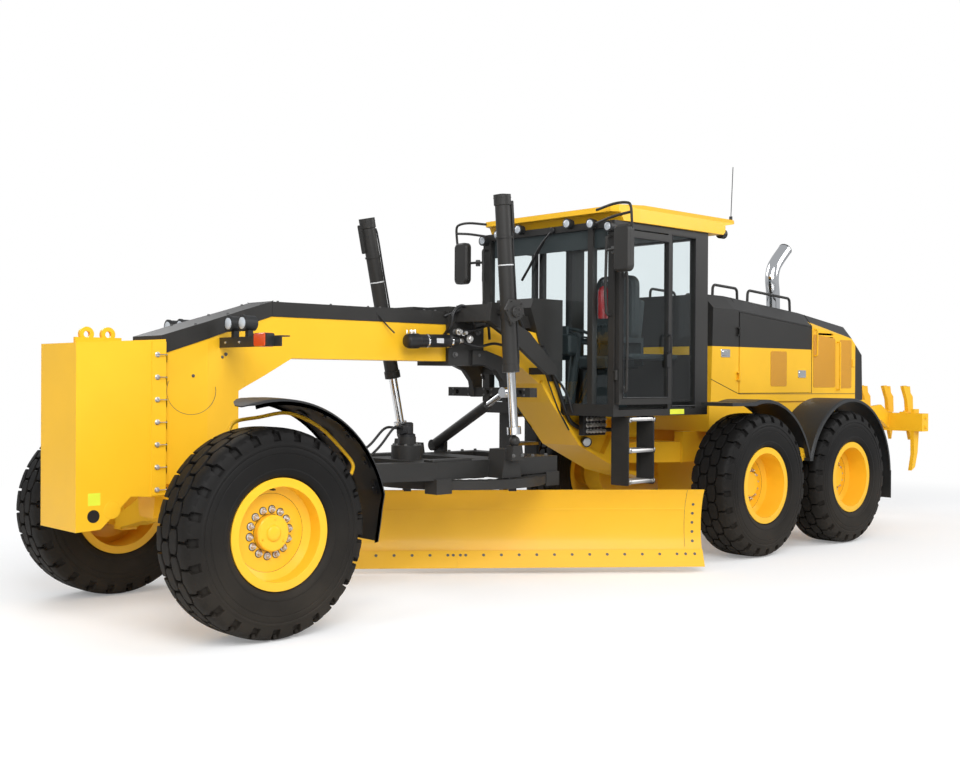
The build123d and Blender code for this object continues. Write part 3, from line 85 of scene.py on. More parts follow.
# name, offset from the machine's middle, side of the square lamp, watts
LAMPS = (
    ("broad_lamp", (7.0, 10.0, 7.0), 8.0, 1350),
    ("side_lamp", (-9.0, 8.0, 6.0), 6.0, 520),
    ("far_lamp", (2.0, -11.0, 8.0), 7.0, 600),
    ("front_lamp", (14.0, 2.0, 5.0), 5.0, 260))
for name, offset, size, watts in LAMPS:
    light = bpy.data.lights.new(name, "AREA")
    light.size = size
    light.energy = watts
    stand = bpy.data.objects.new(name, light)
    stand.location = Vector(MIDDLE + np.array(offset))
    stand.rotation_euler = (-Vector(offset)).to_track_quat("-Z", "Y").to_euler()
    bpy.context.scene.collection.objects.link(stand)


def node(tree, kind, settings=None, **inputs):
    """Adds a shader node. An input is a value or another node's output; _0 means the first socket."""
    made = tree.nodes.new(kind)
    for key, value in (settings or {}).items():
        setattr(made, key, value)
    for key, value in inputs.items():
        socket = made.inputs[int(key[1:])] if key[1:].isdigit() else made.inputs[key.replace("_", " ")]
        if isinstance(value, bpy.types.NodeSocket):
            tree.links.new(value, socket)
        else:
            socket.default_value = value
    return made


def sum_of(tree, operation, *values, clamp=False):
    """The result of one Math node over its values."""
    numbered = {f"_{number}": value for number, value in enumerate(values)}
    return node(tree, "ShaderNodeMath", {"operation": operation, "use_clamp": clamp}, **numbered).outputs[0]


SOFT_LIGHT = 0.44
world = bpy.data.worlds.new("room")
bpy.context.scene.world = world
world.use_nodes = True
air = world.node_tree
air.nodes.clear()
ray = node(air, "ShaderNodeLightPath")
direct = sum_of(air, "MAXIMUM", ray.outputs["Is Camera Ray"], ray.outputs["Is Transmission Ray"])
soft = node(air, "ShaderNodeBackground", Color=(0.95, 0.97, 1.0, 1), Strength=SOFT_LIGHT)
white = node(air, "ShaderNodeBackground", Color=(1, 1, 1, 1), Strength=1.0)
seen = node(air, "ShaderNodeMixShader", _0=direct, _1=soft.outputs[0], _2=white.outputs[0])
node(air, "ShaderNodeOutputWorld", Surface=seen.outputs[0])

FLOOR_HALF = 60.0
FLOOR_GLOW = 0.22
FADE_FROM, FADE_TO = 6.5, 11.0
floor_mesh = bpy.data.meshes.new("floor")
floor_mesh.from_pydata([(-FLOOR_HALF, -FLOOR_HALF, 0), (FLOOR_HALF, -FLOOR_HALF, 0),
                        (FLOOR_HALF, FLOOR_HALF, 0), (-FLOOR_HALF, FLOOR_HALF, 0)], [], [(0, 1, 2, 3)])
floor = bpy.data.objects.new("floor", floor_mesh)
bpy.context.scene.collection.objects.link(floor)
floor_paint = bpy.data.materials.new("floor_paint")
floor_paint.use_nodes = True
tree = floor_paint.node_tree
tree.nodes.clear()
ray = node(tree, "ShaderNodeLightPath")
matte = node(tree, "ShaderNodeBsdfDiffuse", Color=(0.8, 0.8, 0.8, 1))
glow = node(tree, "ShaderNodeEmission", Color=(1, 1, 1, 1), Strength=FLOOR_GLOW)
both_lit = node(tree, "ShaderNodeAddShader", _0=matte.outputs[0], _1=glow.outputs[0])
place = node(tree, "ShaderNodeTexCoord")
reach = node(tree, "ShaderNodeVectorMath", {"operation": "LENGTH"}, _0=place.outputs["Object"])
far_off = node(tree, "ShaderNodeMapRange", {"interpolation_type": "SMOOTHSTEP"},
               Value=reach.outputs["Value"], From_Min=FADE_FROM, From_Max=FADE_TO)
plain = node(tree, "ShaderNodeEmission", Color=(1, 1, 1, 1), Strength=1.0)
faded = node(tree, "ShaderNodeMixShader", _0=far_off.outputs[0], _1=both_lit.outputs[0], _2=plain.outputs[0])
shown = node(tree, "ShaderNodeMixShader", _0=ray.outputs["Is Camera Ray"],
             _1=matte.outputs[0], _2=faded.outputs[0])
node(tree, "ShaderNodeOutputMaterial", Surface=shown.outputs[0])
floor_mesh.materials.append(floor_paint)

# ------------------------------------------------------------------ paint shop
# Every sheet-metal piece is shot with the same satin enamel: a faint orange peel, a slow drift
# of shade over the panels, and a thin dull film of dust low down near the ground.
DUST = (0.30, 0.24, 0.17, 1)
DUST_TOP = 0.9
DUST_SHARE = 0.16


def place_parts(tree):
    """The X, Y and Z of the shaded point in the model's coordinates."""
    place = node(tree, "ShaderNodeTexCoord")
    return node(tree, "ShaderNodeSeparateXYZ", Vector=place.outputs["Object"]).outputs


enamel = bpy.data.node_groups.new("enamel", "ShaderNodeTree")
for label, kind, direction in (("Colour", "Color", "INPUT"), ("Drift", "Float", "INPUT"),
                               ("Gloss", "Float", "INPUT"), ("Grain", "Float", "INPUT"),
                               ("Colour", "Color", "OUTPUT"), ("Roughness", "Float", "OUTPUT"),
                               ("Height", "Float", "OUTPUT")):
    enamel.interface.new_socket(name=label, in_out=direction, socket_type=f"NodeSocket{kind}")
came = enamel.nodes.new("NodeGroupInput")
place = node(enamel, "ShaderNodeTexCoord")
slow = node(enamel, "ShaderNodeTexNoise", Vector=place.outputs["Object"], Scale=2.3, Detail=4.0)
fine = node(enamel, "ShaderNodeTexNoise", Vector=place.outputs["Object"], Scale=came.outputs["Grain"],
            Detail=3.0)
span = node(enamel, "ShaderNodeMapRange", Value=slow.outputs["Fac"], From_Min=0.3, From_Max=0.7,
            To_Min=-1.0, To_Max=1.0)
shift = sum_of(enamel, "MULTIPLY_ADD", span.outputs[0], came.outputs["Drift"], 1.0)
low = node(enamel, "ShaderNodeMapRange", Value=place_parts(enamel)["Z"], From_Min=0.0, From_Max=DUST_TOP,
           To_Min=1.0, To_Max=0.0)
speckled = sum_of(enamel, "MULTIPLY", low.outputs[0], slow.outputs["Fac"])
dusty = sum_of(enamel, "MULTIPLY", speckled, DUST_SHARE)
shaded = node(enamel, "ShaderNodeVectorMath", {"operation": "SCALE"}, _0=came.outputs["Colour"], Scale=shift)
toned = node(enamel, "ShaderNodeMix", {"data_type": "RGBA"}, _0=dusty, _6=shaded.outputs[0], _7=DUST)
rough = sum_of(enamel, "MULTIPLY_ADD", slow.outputs["Fac"], 0.12, came.outputs["Gloss"])
rougher = sum_of(enamel, "ADD", rough, dusty, clamp=True)
went = enamel.nodes.new("NodeGroupOutput")
enamel.links.new(toned.outputs[2], went.inputs["Colour"])
enamel.links.new(rougher, went.inputs["Roughness"])
enamel.links.new(fine.outputs["Fac"], went.inputs["Height"])


def skin(name, colour, gloss=0.3, drift=0.05, grain=260.0, peel=0.0002, metal=0.0, coat=0.0, edge=0.004,
         shine=0.5):
    """A material over the enamel group; edge is the radius that corners catch the light with, and
    shine the strength of its plain reflection."""
    made = bpy.data.materials.new(name)
    made.use_nodes = True
    tree = made.node_tree
    tree.nodes.clear()
    group = node(tree, "ShaderNodeGroup", {"node_tree": enamel}, Drift=drift, Gloss=gloss, Grain=grain)
    if isinstance(colour, tuple):
        group.inputs["Colour"].default_value = (*colour, 1)
    else:
        tree.links.new(colour(tree), group.inputs["Colour"])
    bump = node(tree, "ShaderNodeBump", Height=group.outputs["Height"], Strength=0.25, Distance=peel)
    if edge:
        softened = node(tree, "ShaderNodeBevel", {"samples": 4}, Radius=edge)
        tree.links.new(softened.outputs[0], bump.inputs["Normal"])
    body = node(tree, "ShaderNodeBsdfPrincipled", Base_Color=group.outputs["Colour"],
                Roughness=group.outputs["Roughness"], Metallic=metal, Coat_Weight=coat,
                Coat_Roughness=0.12, Specular_IOR_Level=shine, Normal=bump.outputs[0])
    node(tree, "ShaderNodeOutputMaterial", Surface=body.outputs[0])
    made.diffuse_color = (0.5, 0.5, 0.5, 1)
    return made


YELLOW = (0.955, 0.535, 0.022)
CHARCOAL = (0.028, 0.027, 0.0255)
yellow_paint = skin("yellow_paint", YELLOW, gloss=0.30, drift=0.03, coat=0.10, shine=0.3)
black_paint = skin("black_paint", CHARCOAL, gloss=0.38, drift=0.12, shine=0.3)
black_plastic = skin("black_plastic", (0.017, 0.018, 0.019), gloss=0.42, drift=0.15, grain=700, peel=0.0006)
rubber = skin("rubber", (0.0072, 0.0067, 0.0064), gloss=0.52, drift=0.3, grain=420, peel=0.0008, edge=0.003,
              shine=0.18)
bare_steel = skin("bare_steel", (0.55, 0.54, 0.52), gloss=0.22, drift=0.08, metal=1.0, edge=0.002)
bright_chrome = skin("bright_chrome", (0.86, 0.87, 0.88), gloss=0.03, drift=0.02, metal=1.0, edge=0.0)
cast_metal = skin("cast_metal", (0.10, 0.10, 0.10), gloss=0.5, drift=0.2, grain=900, peel=0.001)
trim = skin("trim", (0.020, 0.030, 0.032), gloss=0.5, drift=0.1, grain=600, peel=0.0006)
hose_black = skin("hose_black", (0.010, 0.010, 0.011), gloss=0.36, drift=0.1, edge=0.0)
zinc = skin("zinc", (0.66, 0.65, 0.63), gloss=0.26, drift=0.12, metal=1.0, edge=0.0)
label_white = skin("label_white", (0.62, 0.63, 0.64), gloss=0.25, edge=0.0)
label_lime = skin("label_lime", (0.80, 0.86, 0.06), gloss=0.25, edge=0.0)
amber = skin("amber", (0.70, 0.075, 0.008), gloss=0.12, coat=0.6, edge=0.0)
red = skin("red", (0.42, 0.008, 0.014), gloss=0.14, coat=0.6, edge=0.0)
lamp_glass = skin("lamp_glass", (0.50, 0.54, 0.58), gloss=0.06, coat=0.8, edge=0.0)

# Safety glass with a faint green tint: it passes nearly all of the light and reflects like any
# pane. Only the side that the light enters reflects, so that a thin pane never turns black.
pane = bpy.data.materials.new("tinted_pane")
pane.use_nodes = True
tree = pane.node_tree
tree.nodes.clear()
facing = node(tree, "ShaderNodeFresnel", IOR=1.45)
tint = node(tree, "ShaderNodeBsdfTransparent", Color=(0.94, 0.965, 0.97, 1))
sheen = node(tree, "ShaderNodeBsdfGlossy", Color=(1, 1, 1, 1), Roughness=0.02)
faces = node(tree, "ShaderNodeNewGeometry")
entering = sum_of(tree, "SUBTRACT", 1.0, faces.outputs["Backfacing"])
mirrored = sum_of(tree, "MULTIPLY", facing.outputs[0], entering)
mixed = node(tree, "ShaderNodeMixShader", _0=mirrored, _1=tint.outputs[0], _2=sheen.outputs[0])
node(tree, "ShaderNodeOutputMaterial", Surface=mixed.outputs[0])


def dress(material, *names):
    """Gives CAD nodes their finish."""
    for name in names:
        nodes[name].data.materials.clear()
        nodes[name].data.materials.append(material)


SIDES = (("left", 1), ("right", -1))
WHEELS = [(row, side) for row in ("front", "middle", "rear") for side, _ in SIDES]
dress(yellow_paint, "main_frame", "nose_weight", "cab_roof", "moldboard", "cutting_edge", "front_axle",
      "rear_frame", "ripper", "lean_left", "lean_right", "knuckle_left", "knuckle_right", "tandem_left",
      "tandem_right", *(f"rim_{row}_{side}" for row, side in WHEELS))
dress(black_paint, "frame_cover", "saddle", "front_tower", "cab_frame", "drawbar", "drawbar_ball", "circle",
      "blade_carrier", "lift_barrel_left", "lift_barrel_right", "shift_barrel", "mirrors", "steps",
      "door_left", "door_right")
dress(black_plastic, "front_lamps", "antenna", "fender_front_left", "fender_front_right",
      "fender_rear_left", "fender_rear_right")
dress(trim, "cab_interior")
dress(rubber, *(f"tyre_{row}_{side}" for row, side in WHEELS))
dress(bright_chrome, "exhaust", "lift_rod_left", "lift_rod_right", "shift_rod")
dress(cast_metal, "engine")
dress(pane, "cab_glass", "door_glass_left", "door_glass_right")

# ------------------------------------------------------------------ hood
# The engine hood is folded sheet, black above the belt line and yellow below it; towards the
# back the yellow rises to the top of the cooling doors and ends short of the black rear edge.
# The grab handles on the cooling doors are yellow and the hoops over them black.
BELT = 1.995
RAIL_BELT = 2.30
COOLER_FRONT = -7.29
COOLER_BACK = -8.21
COOLER_TOP_FRONT = 2.30
COOLER_TOP_BACK = 2.12


def two_tone(tree, mask):
    """Yellow where the mask is 0 and charcoal where it is 1."""
    mixed = node(tree, "ShaderNodeMix", {"data_type": "RGBA"}, _0=mask, _6=(*YELLOW, 1), _7=(*CHARCOAL, 1))
    return mixed.outputs[2]


def hood_colours(tree):
    """Black where height is over the belt line, or over the cooling doors' sloping top, or behind them."""
    parts = place_parts(tree)
    front, back = at(COOLER_FRONT, 0, 0)[0], at(COOLER_BACK, 0, 0)[0]
    slope = node(tree, "ShaderNodeMapRange", {"clamp": False}, Value=parts["X"], From_Min=back,
                 From_Max=front, To_Min=COOLER_TOP_BACK, To_Max=COOLER_TOP_FRONT)
    rear = sum_of(tree, "LESS_THAN", parts["X"], front)
    line = node(tree, "ShaderNodeMix", _0=rear, _2=BELT, _3=slope.outputs[0])
    above = sum_of(tree, "GREATER_THAN", parts["Z"], line.outputs[0])
    behind = sum_of(tree, "LESS_THAN", parts["X"], back)
    return two_tone(tree, sum_of(tree, "MAXIMUM", above, behind))


def rail_colours(tree):
    """Black where height is over the rails' own belt line."""
    return two_tone(tree, sum_of(tree, "GREATER_THAN", place_parts(tree)["Z"], RAIL_BELT))


hood_paint = skin("hood_paint", hood_colours, gloss=0.30, drift=0.04, coat=0.08, shine=0.3)
rail_paint = skin("rail_paint", rail_colours, gloss=0.32, shine=0.3)
dress(hood_paint, "hood", "side_door_left", "side_door_right")
dress(rail_paint, "handrails")


# ------------------------------------------------------------------ wheels
# Radial earthmover tyres of 1.35 m: two rows of long six-sided blocks between shoulder blocks that
# are notched at the sidewall, and moulded rings on the sidewalls.
def surface(points, around=False, along=False):
    """Faces between the neighbouring points of a grid; around closes the second index, along the first."""
    rows, columns = points.shape[:2]
    index = np.arange(rows * columns).reshape(rows, columns)
    if around:
        index = np.hstack([index, index[:, :1]])
    if along:
        index = np.vstack([index, index[:1]])
    quads = np.stack([index[:-1, :-1], index[:-1, 1:], index[1:, 1:], index[1:, :-1]], axis=-1)
    return points.reshape(-1, 3), quads.reshape(-1, 4)


def piece(name, surfaces, material, body, replaced=(), crease=32):
    """One named piece from surfaces: their points are joined, doubles merged, and edges sharper than
    the crease angle stay sharp."""
    starts = np.cumsum([0] + [len(points) for points, _ in surfaces])
    verts = np.vstack([points for points, _ in surfaces])
    faces = np.vstack([quads + start for (_, quads), start in zip(surfaces, starts)])
    mesh = bpy.data.meshes.new(name)
    mesh.from_pydata(verts.tolist(), [], faces.tolist())
    loose = bmesh.new()
    loose.from_mesh(mesh)
    bmesh.ops.remove_doubles(loose, verts=loose.verts, dist=1e-5)
    bmesh.ops.recalc_face_normals(loose, faces=loose.faces)
    loose.to_mesh(mesh)
    loose.free()
    mesh.polygons.foreach_set("use_smooth", np.ones(len(mesh.polygons), bool))
    mesh.set_sharp_from_angle(angle=math.radians(crease))
    mesh.materials.append(material)
    made = bpy.data.objects.new(name, mesh)
    bpy.context.scene.collection.objects.link(made)
    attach(made, body)
    if replaced:
        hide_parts(*replaced)


def middle_of(name):
    """The middle of a CAD node's box."""
    low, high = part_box(name)
    return np.array((low + high) / 2)


PITCHES = 25
TYRE_RADIUS = 0.674
GROOVE_DEPTH = 0.030
NOTCH_DEPTH = 0.026
# half of the carcass's section, as (reach from the middle, radius), from the bead to the crown
TYRE_SECTION = np.array([
    (0.180, 0.324), (0.180, 0.345), (0.181, 0.361), (0.1945, 0.367), (0.204, 0.376), (0.211, 0.390),
    (0.2165, 0.402), (0.2180, 0.410), (0.2150, 0.418), (0.2165, 0.426), (0.2195, 0.445), (0.2215, 0.470),
    (0.2222, 0.492), (0.2222, 0.506), (0.2196, 0.509), (0.2196, 0.514), (0.2218, 0.517), (0.2205, 0.535),
    (0.2185, 0.548), (0.2160, 0.552), (0.2200, 0.558), (0.2200, 0.568), (0.2160, 0.574), (0.2140, 0.590),
    (0.2120, 0.603), (0.2090, 0.616), (0.2045, 0.628), (0.1985, 0.639), (0.1900, 0.649), (0.1800, 0.657),
    (0.1690, 0.6625), (0.1570, 0.6665), (0.1440, 0.669), (0.1300, 0.6705), (0.1150, 0.672),
    (0.0850, 0.6735), (0.0550, 0.674), (0.0250, 0.674)])
# a block's outline, as (pitches round the tyre, metres from the crown along the section)
CENTRE_BLOCK = [(-0.445, 0.018), (-0.20, 0.006), (0.30, 0.006), (0.445, 0.024), (0.445, 0.074), (0.20, 0.088),
                (-0.30, 0.088), (-0.445, 0.068)]
SHOULDER_BLOCK = [(-0.45, 0.110), (-0.20, 0.105), (0.03, 0.090), (0.30, 0.105), (0.45, 0.110),
                  (0.45, 0.172), (0.34, 0.188), (0.32, 0.262), (-0.32, 0.262), (-0.34, 0.188),
                  (-0.45, 0.172)]
# each outline with its rows, as (side of the crown, stagger in pitches)
BLOCK_ROWS = ((CENTRE_BLOCK, ((1, 0.0), (-1, 0.5))), (SHOULDER_BLOCK, ((1, 0.5), (-1, 0.0))))
# a block's layers from its foot to its middle, as (share of the outline, share of the groove's depth)
BLOCK_LAYERS = ((1.0, 1.15), (1.0, 0.12), (0.955, 0.0), (0.75, 0.0), (0.45, 0.0), (0.0, 0.0))


def divided(outline, pitch, step=0.014):
    """A block's outline with each side cut into equal steps of about 14 mm."""
    corners = np.array(outline)
    ends = np.roll(corners, -1, axis=0)
    counts = np.maximum(1, np.round(np.linalg.norm((ends - corners) * (pitch, 1), axis=1) / step))
    return np.vstack([start + (end - start) * np.arange(count)[:, None] / count
                      for start, end, count in zip(corners, ends, counts)])


def tyre_surfaces(centre, phase):
    """A lathe-turned carcass with a block for every pitch of four staggered rows. A block's outline is
    wrapped on the section at rising depths, its rim bevelled and its top closed by outlines drawn in
    towards the middle."""
    section = np.vstack([TYRE_SECTION, (TYRE_SECTION * (-1, 1))[::-1]])
    tangent = np.gradient(section, axis=0)
    normal = np.stack([tangent[:, 1], -tangent[:, 0]], axis=1)
    normal /= np.linalg.norm(normal, axis=1)[:, None]
    run = np.r_[0, np.cumsum(np.linalg.norm(np.diff(section, axis=0), axis=1))]
    across = run[-1] / 2 - run
    order = np.argsort(across)
    floor_depth = np.interp(np.abs(across), (0.0, 0.19, 0.245, 0.258),
                            (GROOVE_DEPTH, GROOVE_DEPTH, NOTCH_DEPTH, 0.0))

    def wrapped(turns, v, depth):
        """Points at turns (in pitches), v along the section and a share of the groove's depth."""
        out, high, out_way, high_way, sunk = [np.interp(v, across[order], column[order])
                                              for column in (*section.T, *normal.T, floor_depth * depth)]
        out = out - out_way * sunk
        high = high - high_way * sunk
        angle = (turns + phase) * 2 * math.pi / PITCHES
        return centre + np.stack([high * np.cos(angle), out, high * np.sin(angle)], axis=-1)

    turns, stations = np.meshgrid(np.arange(6 * PITCHES) / 6, across, indexing="ij")
    made = [surface(wrapped(turns, stations, 1.0), along=True)]
    for outline, rows in BLOCK_ROWS:
        heart = np.mean(outline, axis=0)
        rim = divided(outline, 2 * math.pi * TYRE_RADIUS / PITCHES)
        for side, stagger in rows:
            for number in range(PITCHES):
                layers = []
                for share, depth in BLOCK_LAYERS:
                    flat = heart + (rim - heart) * share
                    layers.append(wrapped(flat[:, 0] * side + number + stagger, flat[:, 1] * side, depth))
                made.append(surface(np.array(layers), around=True))
    return made


for number, (row, side) in enumerate(WHEELS):
    centre = middle_of(f"tyre_{row}_{side}")
    piece(f"treaded_tyre_{row}_{side}", tyre_surfaces(centre, number * 0.37), rubber,
          f"wheel_{row}_{side}", [f"tyre_{row}_{side}"], crease=28)


# ------------------------------------------------------------------ wheel fittings
# Fourteen studs with dark washers hold each disc; the front ones stand round a domed hub cap, the
# rear ones lie deep in the dish. Thin dark lines mark where disc, cap and rim meet.
def unit(way):
    """The direction with its length made 1."""
    way = np.asarray(way, float)
    return way / np.linalg.norm(way)


def square_to(way):
    """Two unit vectors square to way and to each other."""
    side = unit(np.cross(way, (0, 0, 1.0) if abs(unit(way)[2]) < 0.9 else (1.0, 0, 0)))
    return side, np.cross(unit(way), side)


def spokes(way, angle):
    """Unit vectors at the angles of a circle about way: cos times one side plus sin times the other."""
    side, other = square_to(way)
    return np.cos(angle)[:, None] * side + np.sin(angle)[:, None] * other


def turned(start, way, profile, sides=24):
    """A surface of revolution: each (distance along way, radius) pair becomes a ring about the line
    from start."""
    spoke = spokes(way, np.arange(sides) * 2 * math.pi / sides)
    along, radius = np.array(profile, float).T
    points = np.asarray(start) + along[:, None, None] * unit(way) + radius[:, None, None] * spoke[None]
    return surface(points, around=True)


def bolt(place, way, radius, height=None):
    """A flanged hexagon head with its chamfer, standing at place."""
    height = height or 1.3 * radius
    wide = 1.35 * radius
    flange = [(-0.001, wide), (0.25 * radius, wide), (0.4 * radius, radius), (0.4 * radius, 0)]
    head = [(0.3 * radius, radius), (0.85 * height, radius), (height, 0.8 * radius), (height, 0)]
    return [turned(place, way, flange, 14), turned(place, way, head, 6)]


def bolts(places, way, radius, height=None):
    """The same bolt at each place."""
    return [part for place in places for part in bolt(place, way, radius, height)]


def circle_of(centre, way, radius, count, start=0.0):
    """Places evenly spaced on a circle about way."""
    return np.asarray(centre) + radius * spokes(way, start + np.arange(count) * 2 * math.pi / count)


def seam_ring(centre, way, radius):
    """A fine raised line of 4 mm along a circle."""
    return turned(centre, way, [(-0.001, radius - 0.002), (0.0012, radius - 0.001), (0.0012, radius + 0.001),
                                (-0.001, radius + 0.002)], 72)


STUDS = 14
STUD_CIRCLE = 0.149
STUD_TURN = 0.11
STUD_TIP = [(0.023, 0.009), (0.034, 0.009), (0.036, 0.007), (0.036, 0)]
WASHER = [(-0.001, 0.027), (0.002, 0.027), (0.002, 0)]
VALVE = [(-0.01, 0.009), (0.045, 0.009), (0.047, 0.006), (0.062, 0.006), (0.062, 0)]
DOME = ((-0.004, 0.054), (0.008, 0.052), (0.022, 0.046), (0.030, 0.034), (0.033, 0.0))
# how far the disc stands out from the tyre's middle, the cap from the disc, and the dome's fullness
DISC_AND_CAP = {"front": (0.063, 0.052, 0.5), "middle": (-0.027, 0.0, 1.0), "rear": (-0.027, 0.0, 1.0)}

for row, side in WHEELS:
    out = np.array([0, 1.0 if side == "left" else -1.0, 0])
    disc, cap, fullness = DISC_AND_CAP[row]
    face = middle_of(f"tyre_{row}_{side}") + out * disc
    ring = circle_of(face, out, STUD_CIRCLE, STUDS, STUD_TURN)
    studs = bolts(ring, out, 0.0165, 0.024) + [turned(place, out, STUD_TIP, 10) for place in ring]
    piece(f"wheel_studs_{row}_{side}", studs, zinc, f"wheel_{row}_{side}", crease=25)
    hub = [turned(face, out, [(cap + fullness * rise, reach) for rise, reach in DOME], 40)]
    hub += bolts(circle_of(face + out * cap, out, 0.088, 3, 0.4), out, 0.005)
    piece(f"hub_cap_{row}_{side}", hub, yellow_paint, f"wheel_{row}_{side}", crease=35)
    lines = [seam_ring(face, out, 0.119), seam_ring(face, out, 0.252)]
    lines += [turned(place, out, WASHER, 20) for place in ring]
    lines.append(turned(face + np.array([0.0, 0.0, 0.278]), out, VALVE, 10))
    piece(f"wheel_lines_{row}_{side}", lines, hose_black, f"wheel_{row}_{side}", crease=25)


# ------------------------------------------------------------------ nose weight and nose plates
# The weight hangs on a folded flange by seven long bolts a side that reach back to clips on the
# nose plates. The plates show a round access outline and small bolts by the lamp bar, and the
# weight a cross hole, a filled one and a small label. The cross hole's pocket is yellow inside;
# the black disc drawn over it is painted shade.
def tube(knots, radius, sides=10, steps=6):
    """A round tube on a smooth curve through the knots: each span weighs its four nearest knots with
    the Catmull-Rom cubics, and the ring's first axis is carried along so that the tube never twists."""
    knots = np.array(knots, float)
    padded = np.vstack([2 * knots[0] - knots[1], knots, 2 * knots[-1] - knots[-2]])
    t = np.linspace(0, 1, steps, endpoint=False)[:, None]
    spans = [0.5 * (2 * b + (c - a) * t + (2 * a - 5 * b + 4 * c - d) * t**2 + (3 * b - a - 3 * c + d) * t**3)
             for a, b, c, d in zip(padded, padded[1:], padded[2:], padded[3:])]
    line = np.vstack(spans + [knots[-1:]])
    tangent = np.gradient(line, axis=0)
    tangent /= np.linalg.norm(tangent, axis=1)[:, None]
    side, _ = square_to(tangent[0])
    angle = np.arange(sides) * 2 * math.pi / sides
    rings = [np.tile(line[0], (sides, 1))]
    for centre, way in zip(line, tangent):
        side = unit(side - way * (side @ way))
        rings.append(centre + radius * (np.cos(angle)[:, None] * side
                                        + np.sin(angle)[:, None] * np.cross(way, side)))
    rings.append(np.tile(line[-1], (sides, 1)))
    return surface(np.array(rings), around=True)


def plate(origin, across, up, outline, thick, bevel=0.002):
    """A flat plate: the outline's (across, up) pairs from origin, raised by thick square to both, with
    its rim drawn in by the bevel towards the middle. Below zero, thick goes the other way and the
    bevel flares the rim."""
    outline = np.asarray(outline, float)
    across, up = unit(across), unit(up)
    square = np.cross(across, up)
    heart = np.tile(outline.mean(axis=0), (len(outline), 1))
    arm = outline - heart
    drawn_in = heart + arm * (1 - bevel / np.linalg.norm(arm, axis=1))[:, None]
    rows = ((heart, 0.0), (outline, 0.0), (outline, thick - bevel), (drawn_in, thick), (heart, thick))
    points = [np.asarray(origin) + flat[:, :1] * across + flat[:, 1:] * up + height * square
              for flat, height in rows]
    return surface(np.array(points), around=True)


def rounded(width, height, radius=0.004, steps=5):
    """The outline of a rectangle with rounded corners: each corner's centre plus an arc about it."""
    centres = np.array([(1, 1), (-1, 1), (-1, -1), (1, -1)]) * (width / 2 - radius, height / 2 - radius)
    angle = (np.arange(4)[:, None] + np.arange(steps + 1) / steps) * math.pi / 2
    arcs = centres[:, None] + radius * np.stack([np.cos(angle), np.sin(angle)], axis=-1)
    return arcs.reshape(-1, 2)


def path(way, *stations):
    """The places of the stations, on the left where way is 1 and mirrored to the right where it is -1."""
    return [at(x, way * y, z) for x, y, z in stations]


X, Y, Z = np.eye(3)
WEIGHT_BOLTS = 7
TOP_BOLT = 1.812
BOLT_PITCH = 0.1515
FILLED_HOLE = [(0, 0), (0, 0.058), (0.0088, 0.058), (0.0092, 0.056), (0.0092, 0)]
for side, way in SIDES:
    out = Y * way
    fixings, clips = [], []
    for high in TOP_BOLT - BOLT_PITCH * np.arange(WEIGHT_BOLTS):
        fixings += bolt(at(0.325, way * 0.277, high), out, 0.014, 0.016)
        rod = path(way, (0.325, 0.293, high), (0.262, 0.291, high), (0.235, 0.232, high - 0.004),
                   (0.218, 0.206, high - 0.006))
        fixings.append(tube(rod, 0.0035, 6, 3))
        clips.append(plate(at(0.222, way * 0.200, high - 0.022), X * way, Z, rounded(0.022, 0.060), 0.010))
    piece(f"weight_bolts_{side}", fixings, zinc, "root", crease=25)
    piece(f"weight_clips_{side}", clips, cast_metal, "root")
    turn = np.radians(np.linspace(170, 385, 30))[:, None]
    marks = [tube(at(0.025, way * 0.2002, 1.567) + 0.190 * np.cos(turn) * X + 0.165 * np.sin(turn) * Z,
                  0.0016, 6, 2)]
    marks += bolt(at(0.013, way * 0.2, 1.671), out, 0.009)
    marks += bolt(at(-0.255, way * 0.181, 1.826), out, 0.010)
    marks += bolt(at(-0.225, way * 0.185, 1.805), out, 0.008)
    piece(f"nose_marks_{side}", marks, cast_metal, "root")
    piece(f"weight_plug_{side}", [turned(at(0.640, way * 0.262, 0.790), out, FILLED_HOLE, 40)],
          yellow_paint, "root")
    # A black disc over the yellow pocket of the cross hole: painted shade, not the pocket's colour.
    hole = turned(at(0.770, way * 0.2702, 0.757), out, [(0, 0.042), (0.0008, 0.042), (0.0008, 0)], 32)
    piece(f"tie_hole_shade_{side}", [hole], hose_black, "root")
    label = plate(at(0.765, way * 0.2702, 0.867), X * -way, Z, rounded(0.085, 0.082), 0.0008, 0.0003)
    piece(f"weight_label_{side}", [label], label_lime, "root")

# ------------------------------------------------------------------ headlamps and turn signals
# Each side of the lamp bar carries two clear round lamps and an amber signal; the same clear lamps
# hang from the roof, and small ones from its tail.
BAR_LENS = [(-0.001, 0.041), (0.004, 0.040), (0.011, 0.026), (0.014, 0.0)]
ROOF_LENS = [(-0.001, 0.035), (0.004, 0.034), (0.010, 0.022), (0.013, 0.0)]
TAIL_LENS = [(-0.001, 0.038), (0.004, 0.037), (0.010, 0.024), (0.012, 0.0)]
